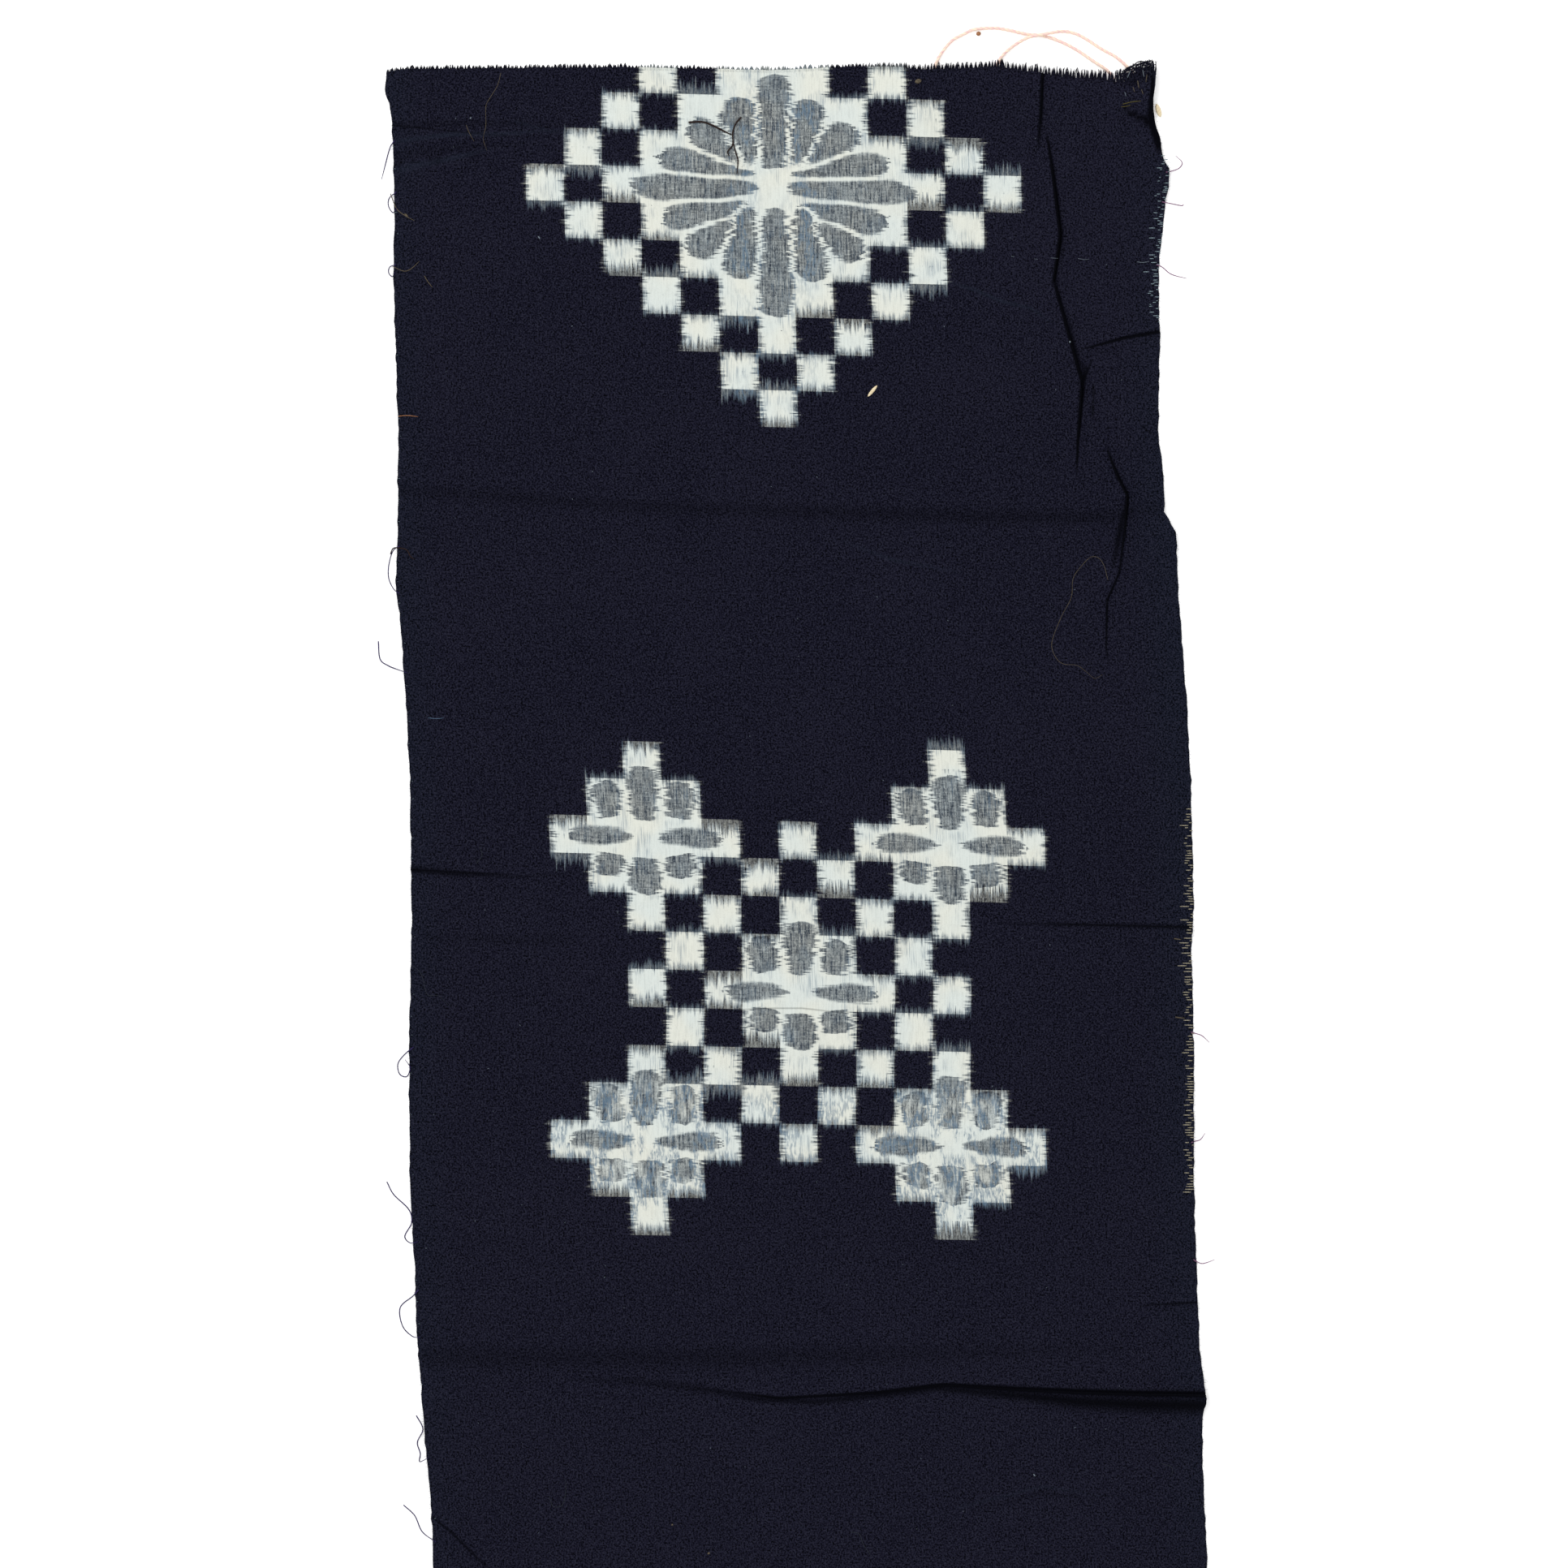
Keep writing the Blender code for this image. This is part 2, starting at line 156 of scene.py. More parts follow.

# Soft lines along the folds: darker as painted shade, paler (under 0) as painted light along their
# ridges
Mark = namedtuple("Mark", "x y half_width shade")
MARKS = (
    rows(Mark, (-174, 290.2, 3.4, 0.30), (-140, 291.6, 3, 0.30), (-92, 290.6, 2.4, 0.16)),
    rows(Mark, (-172, 276.8, 4, 0.26), (-145, 281, 3.6, 0.26), (-112, 282.4, 2, 0.10)),
    rows(Mark, (-172, 283.4, 1.8, -0.40), (-147, 286.5, 1.9, -0.55), (-127, 286.5, 1.7, -0.5),
         (-97, 288.6, 1.2, -0.15)),
    rows(Mark, (-170, 271, 3.2, -0.40), (-145, 276.3, 2, -0.50), (-130, 279.8, 1.4, -0.20)),
    rows(Mark, (-118, 292, 1.4, -0.30), (-104, 288, 1.4, -0.35), (-95, 286.6, 1.2, -0.10)),
    rows(Mark, (70, 222, 1.2, -0.15), (84, 218, 1.5, -0.50), (96, 212.8, 1.5, -0.50),
         (109, 209.8, 1.4, -0.40), (118, 203.7, 1.3, -0.15)),
    rows(Mark, (-172, 130, 5, 0.26), (-60, 122, 5.5, 0.30), (98, 117.7, 5.5, 0.38),
         (145, 118, 5, 0.34), (172, 124, 3, 0.10)),
    rows(Mark, (26, 107, 1.5, -0.10), (48, 98.8, 1.7, -0.40), (78, 93.2, 1.3, -0.10)),
    rows(Mark, (151, 126, 1.4, 0.50), (149.3, 117.8, 2.8, 0.85), (147.2, 106, 2.8, 0.85),
         (145, 95.6, 1.4, 0.50)),
    rows(Mark, (135.9, 187.2, 0.7, 0.50), (133.6, 181.6, 1.2, 0.90), (131.2, 176.6, 1.3, 0.90)),
    rows(Mark, (157.2, 158.4, 0.8, 0.30), (161.6, 154.6, 1, 0.60)),
    rows(Mark, (-166, -38.2, 1.5, 0.60), (-146, -39.7, 1.7, 0.60), (-120, -40.9, 1.6, 0.40),
         (-94, -39.7, 1.4, 0.12)),
    rows(Mark, (-158, -67.6, 4, 0.16), (-124, -68.6, 4, 0.24), (-94, -68.6, 3.6, 0.18)),
    rows(Mark, (94, -61.4, 1.4, 0.25), (140, -62.4, 1.9, 0.45), (180, -63.4, 2, 0.55)),
    rows(Mark, (-156, -252.6, 8, 0.28), (-24, -253, 8.5, 0.34), (80, -250.6, 7, 0.22),
         (150, -249, 5, 0.10)),
    rows(Mark, (-96, -262.2, 1.6, 0.16), (-70, -263.1, 3.2, 0.34), (-42, -265.8, 3.4, 0.46),
         (-12, -271.2, 2.6, 0.74), (14, -272.4, 2.4, 0.74), (45, -269, 3, 0.78),
         (67, -266.2, 3, 0.80), (104, -269.4, 4.2, 0.88), (129, -272.2, 5.8, 0.92),
         (158, -273.6, 6.6, 0.94), (187, -273.8, 6.6, 0.94)),
    rows(Mark, (76, -319.4, 1.6, -0.16), (114, -309.8, 1.4, -0.30), (140, -313.8, 1.2, -0.10)),
    rows(Mark, (84, -321, 2, 0.14), (114, -312.4, 2, 0.28), (138, -315.8, 1.6, 0.12)),
    rows(Mark, (-154.7, -323.4, 1, 0.70), (-146.3, -330.3, 1.2, 0.80), (-137.9, -338.7, 1.2, 0.75),
         (-130, -346, 1, 0.55), (-112, -364, 1, 0.20)),
    rows(Mark, (-52, -99.4, 0.5, 0.16), (-30, -100.3, 0.55, 0.26), (-8, -98.9, 0.65, 0.40),
         (8, -98.9, 0.65, 0.42), (24, -100.7, 0.6, 0.34), (66, -100.4, 0.5, 0.14)),
)

Ripple = namedtuple("Ripple", "side y half_length rise")
RIPPLES = rows(Ripple, ("right", 271, 22, 1.4), ("right", 112, 18, 1.8), ("right", -150, 40, 0.6),
    ("right", -268, 16, 1.6), ("left", 240, 34, 0.7), ("left", 60, 30, 0.6), ("left", -290, 44, 1))
RIPPLE_REACH = 16.0

Lift = namedtuple("Lift", "x rise")
TOP_LIFT = rows(Lift, (34, 0), (56, 1.9), (104, 1.9), (122, 1.5), (136, 2), (152, 2.4), (164, 3.6))
TOP_LIFT_LEVEL = 11.0
TOP_LIFT_REACH = 34.0

# How far the top end has ravelled, and the corner where its weave has opened
Ravel = namedtuple("Ravel", "x depth")
RAVELLED = rows(Ravel, (-175.4, 0.9), (50, 1.1), (62, 2.4), (112, 2.8), (120, 3.4), (145, 4),
    (148, 5.5), (151, 6.5), (154, 9.5), (157, 7), (160, 9.5), (162.5, 6), (164, 5))
OPEN_START = 146.0
RAVEL_SPACING = 0.36
OPEN_PICKS = 26

# How the weave lies: its middle warp yarn wanders, and its weft yarns slope down to the right
Grain = namedtuple("Grain", "y middle slope")
GRAIN = rows(Grain, (320, -5.2, 0.026), (262.8, -4.6, 0.026), (165, -2.3, 0.028), (-24, 5.9, 0.029),
    (-91.6, 7, 0.024), (-160, 6.3, 0.018), (-262, 12, 0.010), (-380, 16.4, 0.004))
MEDALLION_LINE = 262.8
CROSS_LINE = -91.6
PATTERN_SPLIT = 90.0
# Where the dye of the lower two flowers starts to blur, and where it's full
LOWER_FLOWERS = (-124.0, -142.0)

# Tacking threads, repeated from the solids' routes

Route = namedtuple("Route", "x y z")
THREAD_DIAMETER = 1.5
THREAD_SIDES = 12
LYING = 0.05 + THREAD_DIAMETER / 2.0
CROSSING = LYING + THREAD_DIAMETER + 0.35
THREAD_A = rows(Route, (65.9, 308.6, LYING), (66.4, 312.9, LYING), (67.2, 317.9, LYING),
    (69.3, 322.2, LYING), (73.9, 327.7, LYING), (79, 330.6, LYING), (84.1, 332.8, LYING),
    (92.5, 333.4, LYING), (98.5, 332.6, LYING), (107.7, 330.6, LYING), (113.6, 330.1, LYING),
    (121.2, 327.7, LYING), (128.8, 323.9, LYING), (136.4, 318.8, LYING), (142.3, 314.9, LYING),
    (145, 311.1, LYING), (146.4, 307.2, LYING))
THREAD_B = rows(Route, (93.1, 308.6, LYING), (93.6, 313.6, LYING), (94.6, 318.4, LYING),
    (97.6, 322.6, LYING), (102.6, 326.4, LYING + 0.75), (107.7, 329, CROSSING),
    (112.8, 330.2, CROSSING), (117.9, 331.1, CROSSING - 0.25), (122.9, 331.9, LYING + 0.45),
    (128, 331.1, LYING), (133, 328.7, LYING), (139.8, 324.3, LYING), (146.6, 320.5, LYING),
    (151.6, 316, LYING), (154.3, 312.2, LYING), (155.7, 307.9, LYING))

# Yarn ends that have worked loose from the selvedges: steps out from the edge and along it
Step = namedtuple("Step", "out along")
Loose = namedtuple("Loose", "side y thick steps")


def loose_row(side, y, thick, *steps):
    """A loose yarn and its steps."""
    return Loose(side, y, thick, rows(Step, *steps))


LOOSE_YARNS = (
    loose_row("left", 281.7, 0.50, (-1, 2), (1, -1), (3.2, -7.5), (5.4, -15)),
    loose_row("left", 260.0, 0.44, (-1, 1), (2.2, -1.5), (2.6, -5), (0.6, -8), (-1.2, -6)),
    loose_row("left", 228.0, 0.44, (-1, 1), (1.8, 0), (2.2, -2.6), (0.6, -4.2), (-0.6, -2.4)),
    loose_row("left", 104.0, 0.46, (-1.2, 1), (1.6, -1), (3.1, -7), (3, -13), (1.4, -18),
        (-1, -20)),
    loose_row("left", 63.0, 0.54, (10.4, 0), (10.2, -7.9), (6.8, -10.8), (3.6, -12.2), (-1.5, -14)),
    loose_row("left", -114.0, 0.50, (-2, -2), (2.2, -5.5), (5, -9.5), (4.2, -14), (1, -15),
        (-0.4, -11), (1.8, -7.5)),
    loose_row("left", -175.4, 0.54, (10.2, 0), (7.4, -5.7), (1.2, -12.2), (0.2, -18), (3.6, -24),
        (1.4, -27), (-2.2, -26.4)),
    loose_row("left", -225.0, 0.52, (-1.5, 2), (1.4, -1), (7, -6), (6.2, -14), (2, -18.6),
        (-1.4, -19)),
    loose_row("left", -278.5, 0.54, (2.8, 0), (0.4, -6), (3.4, -11.8), (2.6, -16.8), (3.2, -20.4),
        (-0.8, -18.6)),
    loose_row("left", -318.0, 0.52, (12, 0), (7.4, -4.7), (4.6, -11.8), (-1.6, -16.4)),
    loose_row("right", 270.3, 0.42, (-1.4, -0.6), (1.2, 0), (4.6, 1.4), (5.9, 3.9), (4.8, 6.8)),
    loose_row("right", 256.3, 0.42, (-1.4, 0.4), (3.2, -0.4), (7.6, -1.2), (8.2, -0.4)),
    loose_row("right", 228.0, 0.42, (-1.2, 1), (1.4, 0), (5.7, -3.2), (12.4, -5)),
    loose_row("right", -110.0, 0.42, (-1.2, 0.6), (0.7, 0), (3.6, -1), (6.8, -4)),
    loose_row("right", -157.5, 0.42, (-1.2, -0.6), (0.7, 0), (2.9, 0.7), (5, 3.6)),
    loose_row("right", -210.5, 0.42, (-1.2, 0.8), (0, 0), (2.9, -1), (8.2, 0.7)),
)

# Bits of yarn and lint on the face of the cloth
Bit = namedtuple("Bit", "finish thick points")
BITS = (
    Bit("brown", 0.80, ((-42.1, 291.8), (-36.2, 292.0), (-31.6, 290.5), (-26.5, 287.9),
                        (-23.1, 286.3))),
    Bit("brown", 0.66, ((-18.8, 294.1), (-21.3, 291.2), (-22.6, 287.1), (-22.6, 282.0),
                        (-24.8, 278.9), (-24.2, 276.9))),
    Bit("brown", 0.60, ((-22.4, 282.6), (-21.1, 277.9), (-20.3, 274.8), (-20.8, 269.0))),
    Bit("tan", 0.20, ((142.8, 90.0), (141.1, 96.4), (138.7, 99.7), (135.2, 100.0), (131.0, 95.9),
                      (127.5, 90.6), (126.7, 82.3), (122.2, 73.5), (118.1, 62.3), (119.9, 55.8),
                      (123.4, 52.9), (129.2, 52.3), (133.4, 49.4), (137.0, 46.6), (140.5, 48.2))),
    Bit("pale", 0.34, ((152.7, 314.5), (151.3, 311.1))),
    Bit("tan", 0.40, ((155.8, 309.9), (156.4, 306.6))),
    Bit("pale", 0.34, ((158.1, 314.5), (158.6, 311.6))),
    Bit("tan", 0.30, ((159.9, 312.5), (159.4, 309.1))),
    Bit("tan", 0.30, ((153.8, 307.1), (154.5, 304.9))),
    Bit("pale", 0.26, ((150.2, 304.9), (150.8, 302.9))),
    Bit("tan", 0.30, ((157.5, 306.0), (158.3, 303.8))),
    Bit("grey", 0.20, ((29.5, -329.9), (33.2, -330.8), (35.0, -335.4), (38.7, -340.8))),
    Bit("grey", 0.20, ((166.5, -299.7), (171.0, -301.4), (171.0, -305.2))),
    Bit("grey", 0.20, ((-103.4, -314.4), (-101.8, -318.6), (-97.5, -317.8), (-96.2, -310.2),
                       (-96.7, -306.0))),
    Bit("grey", 0.20, ((-135.7, -35.1), (-133.2, -31.4), (-134.4, -27.5))),
    Bit("grey", 0.18, ((-164.4, -79.8), (-160.0, -83.8), (-157.4, -92.7), (-152.3, -93.4),
                       (-147.9, -97.8))),
    Bit("tan", 0.22, ((-124.9, 313.6), (-126.4, 308.0), (-129.5, 302.9), (-131.5, 298.8),
                      (-131.5, 290.6), (-132.6, 284.5), (-131.0, 279.3))),
    Bit("tan", 0.24, ((-140.2, 290.6), (-138.7, 287.0), (-136.7, 283.4))),
    Bit("tan", 0.40, ((-173.6, 260.4), (-170.9, 253.8), (-167.2, 250.7), (-163.0, 248.4))),
    Bit("tan", 0.34, ((-172.6, 228.2), (-167.9, 226.2), (-165.3, 226.7), (-163.2, 228.2),
                      (-160.9, 230.5))),
    Bit("tan", 0.34, ((-158.6, 224.1), (-157.1, 221.6), (-155.1, 219.0))),
    Bit("tan", 0.50, ((172.0, -68.2), (173.6, -68.4), (175.2, -68.6))),
    Bit("tan", 0.50, ((172.6, -102.8), (174.6, -103.1), (176.8, -103.3))),
    Bit("brown", 0.50, ((-173.6, 101.3), (-172.3, 104.0), (-169.1, 104.0), (-166.3, 103.1),
                        (-164.7, 100.3), (-163.0, 99.1))),
    Bit("orange", 0.30, ((-170.2, 162.2), (-166.0, 162.5), (-161.4, 162.0))),
    Bit("blue", 0.22, ((-157.0, 29.2), (-153.2, 28.8), (-150.0, 29.2))),
    Bit("yellow", 0.40, ((149.3, 299.6), (153.4, 300.6), (157.4, 301.0))),
    Bit("yellow", 0.30, ((148.6, 298.4), (151.0, 298.7), (153.0, 299.2))),
    Bit("pale", 0.14, ((110.4, 231.6), (112.0, 231.4))),
    Bit("pale", 0.15, ((117.6, 231.9), (119.6, 231.7), (121.0, 231.8))),
    Bit("pale", 0.15, ((129.6, 231.8), (132.4, 231.3), (134.6, 231.5))),
    Bit("pale", 0.20, ((100.2, 232.8), (101.6, 232.6))),
    Bit("pale", 0.26, ((155.8, 230.3), (158.2, 230.0), (161.0, 230.4))),
)


def read_table(rows, key, value, at):
    """Values at places of a table, straight between its rows and level past its ends."""
    ordered = sorted(rows, key=lambda row: getattr(row, key))
    keys = [getattr(row, key) for row in ordered]
    return np.interp(at, keys, [getattr(row, value) for row in ordered])


def edge_at(side, y):
    """The x of the left or the right selvedge at a height of the plan."""
    return read_table(SIDES, "y", side, y)


def mound(distance, reach):
    """1 at the middle, easing to 0 at the reach and level beyond it."""
    share = np.minimum(1.0, np.abs(distance) / reach)
    return (1.0 - share * share) ** 2


def plan_middle():
    """The place of the plan that lies over the part's origin, from the solid's own box."""
    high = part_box("cloth")[1]
    return SIDES[-1].right - high[0] / MM, TOP_END[-1].y - high[1] / MM


MIDDLE_X, MIDDLE_Y = plan_middle()


def to_world(x, y, z):
    """A place of the plan, in metres in the part's frame."""
    return Vector(((x - MIDDLE_X) * MM, (y - MIDDLE_Y) * MM, z * MM))


def fold_rise(fold, x, y):
    """One fold's lift: a mound that drops at its line into a sharp pinch and a lower bank."""
    at, across = (y, x) if fold.runs == "along" else (x, y)
    places = [station.at for station in fold.stations]
    rise = read_table(fold.stations, "at", "rise", at)
    rise = np.where((at < min(places)) | (at > max(places)), 0.0, rise)
    beyond = across - read_table(fold.stations, "at", "line", at)
    smooth = mound(beyond, np.where(beyond > 0, fold.steep_side, fold.gentle_side))
    drop = mound(beyond, np.where(beyond > 0, PINCH_WIDTH, fold.gentle_side))
    bank = PINCH_BANK_SHARE * mound(beyond - PINCH_BANK, PINCH_BANK - 0.5 * PINCH_WIDTH)
    pinched = drop + np.where(beyond > 0, bank, 0.0)
    return rise * (smooth * (1.0 - fold.crease) + pinched * fold.crease)


def fold_shade(fold, x, y):
    """How dark one fold's crease is painted: a soft dark line of painted shade along its crease."""
    at, across = (y, x) if fold.runs == "along" else (x, y)
    places = [station.at for station in fold.stations]
    width = read_table(fold.stations, "at", "shade", at)
    width = np.where((at < min(places)) | (at > max(places)), 0.0, width)
    beyond = across - read_table(fold.stations, "at", "line", at) - width * 0.35
    share = np.clip((width * 0.68 + 0.25 - np.abs(beyond)) / (0.3 + width * 0.25), 0.0, 1.0)
    return share * np.clip(width / 0.8, 0.0, 1.0)


def woven_top(x):
    """Where the whole weave ends under the ravelled yarns of the top end."""
    return read_table(TOP_END, "x", "y", x) - read_table(RAVELLED, "x", "depth", x)


def rise_at(x, y):
    """The height of the cloth's underside over the surface that it lies on."""
    total = sum(fold_rise(fold, x, y) for fold in FOLDS + FAINT_FOLDS)
    fall = np.maximum(0.0, read_table(TOP_END, "x", "y", x) - y - TOP_LIFT_LEVEL)
    lift = read_table(TOP_LIFT, "x", "rise", x) * mound(fall, TOP_LIFT_REACH - TOP_LIFT_LEVEL)
    total = total + lift
    for ripple in RIPPLES:
        inward = x - edge_at(ripple.side, y)
        reach = mound(inward, RIPPLE_REACH) * mound(y - ripple.y, ripple.half_length)
        total = total + ripple.rise * reach
    return total


def weave_place(x, y):
    """Where a place of the plan is in the weave: across from the middle warp yarn, and along."""
    across = x - read_table(GRAIN, "y", "middle", y)
    return across, y + read_table(GRAIN, "y", "slope", y) * across


def weave_spot(x, y):
    """The same for one place, as plain numbers."""
    return tuple(float(value) for value in weave_place(x, y))


# Shader signals


class Signal:
    """A value in a shader tree, so that a pattern can be written as a formula."""

    def __init__(self, tree, socket):
        self.tree, self.socket = tree, socket

    def maths(self, operation, *others):
        node = self.tree.nodes.new("ShaderNodeMath")
        node.operation = operation
        for slot, value in zip(node.inputs, (self,) + others):
            join(self.tree, value, slot)
        return Signal(self.tree, node.outputs[0])

    def nearest(self):
        return (self + 0.5).floor()

    def inverse(self):
        return self.times_plus(-1.0, 1.0)

    def signed(self):
        """From 0 to 1, to -1 to 1."""
        return self.times_plus(2.0, -1.0)

    def clamped(self):
        """Kept between 0 and 1."""
        node = self.tree.nodes.new("ShaderNodeClamp")
        join(self.tree, self, node.inputs[0])
        return Signal(self.tree, node.outputs[0])

    def vectors(self, operation, other, output="Vector"):
        """The same for a vector, of which Scale takes a plain factor."""
        node = self.tree.nodes.new("ShaderNodeVectorMath")
        node.operation = operation
        join(self.tree, self, node.inputs[0])
        join(self.tree, other, node.inputs["Scale"] if operation == "SCALE" else node.inputs[1])
        return Signal(self.tree, node.outputs[output])

    def eased(self, start, end):
        """From 0 at start to 1 at end, smoothly."""
        node = self.tree.nodes.new("ShaderNodeMapRange")
        node.interpolation_type = "SMOOTHSTEP"
        for slot, value in zip(node.inputs, (self, start, end, 0.0, 1.0)):
            join(self.tree, value, slot)
        return Signal(self.tree, node.outputs[0])


SIGNAL_METHODS = {
    "__add__": "ADD", "__sub__": "SUBTRACT", "__mul__": "MULTIPLY", "__truediv__": "DIVIDE",
    "__pow__": "POWER", "__abs__": "ABSOLUTE", "floor": "FLOOR", "most": "MAXIMUM",
    "least": "MINIMUM", "over": "GREATER_THAN", "under": "LESS_THAN", "times_plus": "MULTIPLY_ADD",
}
for method, operation in SIGNAL_METHODS.items():
    setattr(Signal, method, partialmethod(Signal.maths, operation))


def join(tree, value, slot):
    """Feeds a signal, or sets a plain value, into a socket."""
    if isinstance(value, Signal):
        tree.links.new(value.socket, slot)
    else:
        slot.default_value = value


def set_inputs(node, **values):
    """Plain values for a node's sockets. Spaces in their names are written as underscores."""
    for name, value in values.items():
        node.inputs[name.replace("_", " ")].default_value = value


def vector_of(tree, x, y, z=0.0):
    """A vector from three values."""
    node = tree.nodes.new("ShaderNodeCombineXYZ")
    for slot, value in zip(node.inputs, (x, y, z)):
        join(tree, value, slot)
    return Signal(tree, node.outputs[0])


def chance(x, y, z=0.0):
    """An even random value for each whole place."""
    node = x.tree.nodes.new("ShaderNodeTexWhiteNoise")
    join(x.tree, vector_of(x.tree, x, y, z), node.inputs["Vector"])
    return Signal(x.tree, node.outputs["Value"])


def mottle(x, y, detail=2.0):
    """Smooth noise that changes over about one unit."""
    node = x.tree.nodes.new("ShaderNodeTexNoise")
    node.noise_dimensions = "2D"
    join(x.tree, vector_of(x.tree, x, y), node.inputs["Vector"])
    set_inputs(node, Scale=1.0, Detail=detail)
    return Signal(x.tree, node.outputs[0])


def blend(tree, share, first, second):
    """The first colour, turning into the second as the share goes from 0 to 1."""
    node = tree.nodes.new("ShaderNodeMix")
    node.data_type = "RGBA"
    join(tree, share, node.inputs[0])
    for slot, value in zip((node.inputs[6], node.inputs[7]), (first, second)):
        join(tree, value if isinstance(value, Signal) else (*value, 1.0), slot)
    return Signal(tree, node.outputs[2])


class Group:
    """A shader node group under construction, with named sockets for plain values."""

    def __init__(self, name, inputs, outputs):
        self.tree = bpy.data.node_groups.new(name, "ShaderNodeTree")
        for names, side in ((inputs, "INPUT"), (outputs, "OUTPUT")):
            for socket in names:
                self.tree.interface.new_socket(socket, in_out=side, socket_type="NodeSocketFloat")
        self.start = self.tree.nodes.new("NodeGroupInput")
        self.end = self.tree.nodes.new("NodeGroupOutput")

    def __getitem__(self, name):
        return Signal(self.tree, self.start.outputs[name])

    def give(self, name, value):
        join(self.tree, value, self.end.inputs[name])


def use(tree, group, **values):
    """Places a group in a tree and gives its outputs, or the one output that it has.

    Spaces in socket names are written as underscores."""
    node = tree.nodes.new("ShaderNodeGroup")
    node.node_tree = group
    for name, value in values.items():
        join(tree, value, node.inputs[name.replace("_", " ")])
    outputs = [Signal(tree, socket) for socket in node.outputs]
    return outputs[0] if len(outputs) == 1 else outputs


# Dye


def chart_group():
    """The chart: 1 where a whole cell is tied white. A medallion, or a cross of five flowers."""
    group = Group("Kasuri Chart", ("Column", "Row", "Cross"), ("White",))
    column = abs(group["Column"].nearest())
    row = abs(group["Row"].nearest())
    steps = column + row
    medallion = steps.under(4.5) + steps.over(5.5) * steps.under(6.5)
    corner = (abs(column - 4.0) + abs(row - 4.0)).under(2.5)
    cross = (steps.under(2.5) + steps.over(3.5) * steps.under(4.5)).most(corner)
    share = group["Cross"]
    group.give("White", medallion * share.inverse() + cross * share)
    return group.tree


def tied_group(chart):
    """The chart read along a yarn: its white fades out where the dye crept under the tie."""
    names = ("Column", "Row", "Cross", "Place", "Softness", "Along Row")
    group = Group("Tied Yarn", names, ("White",))
    tree, cross, along = group.tree, group["Cross"], group["Along Row"]
    place = group["Place"]
    near = place.nearest()
    off = place - near
    next_one = near + off.maths("SIGN")
    reach = group["Softness"]
    fade = ((abs(off) - 0.5 + reach) / reach).clamped() * 0.5
    whites = []
    for cell in (near, next_one):
        column = cell * along.inverse() + group["Column"] * along
        row = cell * along + group["Row"] * along.inverse()
        whites.append(use(tree, chart, Column=column, Row=row, Cross=cross))
    group.give("White", (whites[0] * fade.inverse() + whites[1] * fade).eased(0.30, 1.0))
    return tree


Petal = namedtuple("Petal", "root_x root_y end_x end_y half_width flare roundness")
MEDALLION_PETALS = rows(Petal, (0.42, 0.00, 3.78, -0.05, 0.38, 0.50, 2.0),
    (0.50, 0.40, 3.00, 0.74, 0.37, 0.52, 5.0), (0.60, 0.56, 2.16, 1.70, 0.43, 0.50, 6.0),
    (0.70, 0.54, 0.96, 2.42, 0.44, 0.28, 9.0), (0.00, 0.56, 0.00, 3.10, 0.43, 0.18, 16.0),
    (0.64, -0.46, 2.96, -0.92, 0.39, 0.50, 5.0), (1.06, -0.92, 2.26, -1.82, 0.42, 0.36, 6.0),
    (0.78, -0.47, 0.98, -2.50, 0.42, 0.22, 12.0), (0.02, -0.54, 0.04, -3.50, 0.41, 0.20, 16.0))
FLOWER_PETALS = rows(Petal, (0.32, 0.00, 1.98, -0.03, 0.26, 0.55, 2.6),
    (0.86, 0.48, 1.04, 1.44, 0.38, 0.14, 7.0), (0.00, 0.42, 0.00, 1.86, 0.42, 0.28, 8.0),
    (0.90, -0.48, 0.98, -1.10, 0.39, 0.07, 6.0), (0.03, -0.56, 0.03, -1.56, 0.39, 0.14, 6.0))


def petal_peak(petal):
    """The widest that a petal's plain curve gets, so that its half width can be set right."""
    share = np.linspace(0.0, 1.0, 201)
    return float(np.max(share ** petal.flare * np.sqrt(1.0 - share ** petal.roundness)))


def petal_depth(place, petal):
    """How far inside one petal a place lies, in cells; less than nothing outside it."""
    step_x, step_y = petal.end_x - petal.root_x, petal.end_y - petal.root_y
    length = math.hypot(step_x, step_y)
    off = place.vectors("SUBTRACT", (petal.root_x, petal.root_y, 0.0))
    ahead = (step_x / length ** 2, step_y / length ** 2, 0.0)
    aside = (-step_y / length, step_x / length, 0.0)
    along = off.vectors("DOT_PRODUCT", ahead, "Value")
    across = off.vectors("DOT_PRODUCT", aside, "Value")
    share = along.clamped()
    past = abs(along - share) * length
    swell = share ** petal.flare * (share ** petal.roundness).inverse().maths("SQRT")
    return swell * (petal.half_width / petal_peak(petal)) - abs(across) - past


def flower_group(name, petals):
    """A flower of petals, the same on both sides, with a thin white seam where two meet."""
    group = Group(name, ("X", "Y"), ("Petals",))
    place = vector_of(group.tree, abs(group["X"]), group["Y"])
    first = petal_depth(place, petals[0])
    second = first - 9.0
    for petal in petals[1:]:
        one = petal_depth(place, petal)
        second = second.most(first.least(one))
        first = first.most(one)
    seam = (first - second).eased(0.04, 0.20)
    group.give("Petals", first.eased(-0.06, 0.06) * seam)
    return group.tree


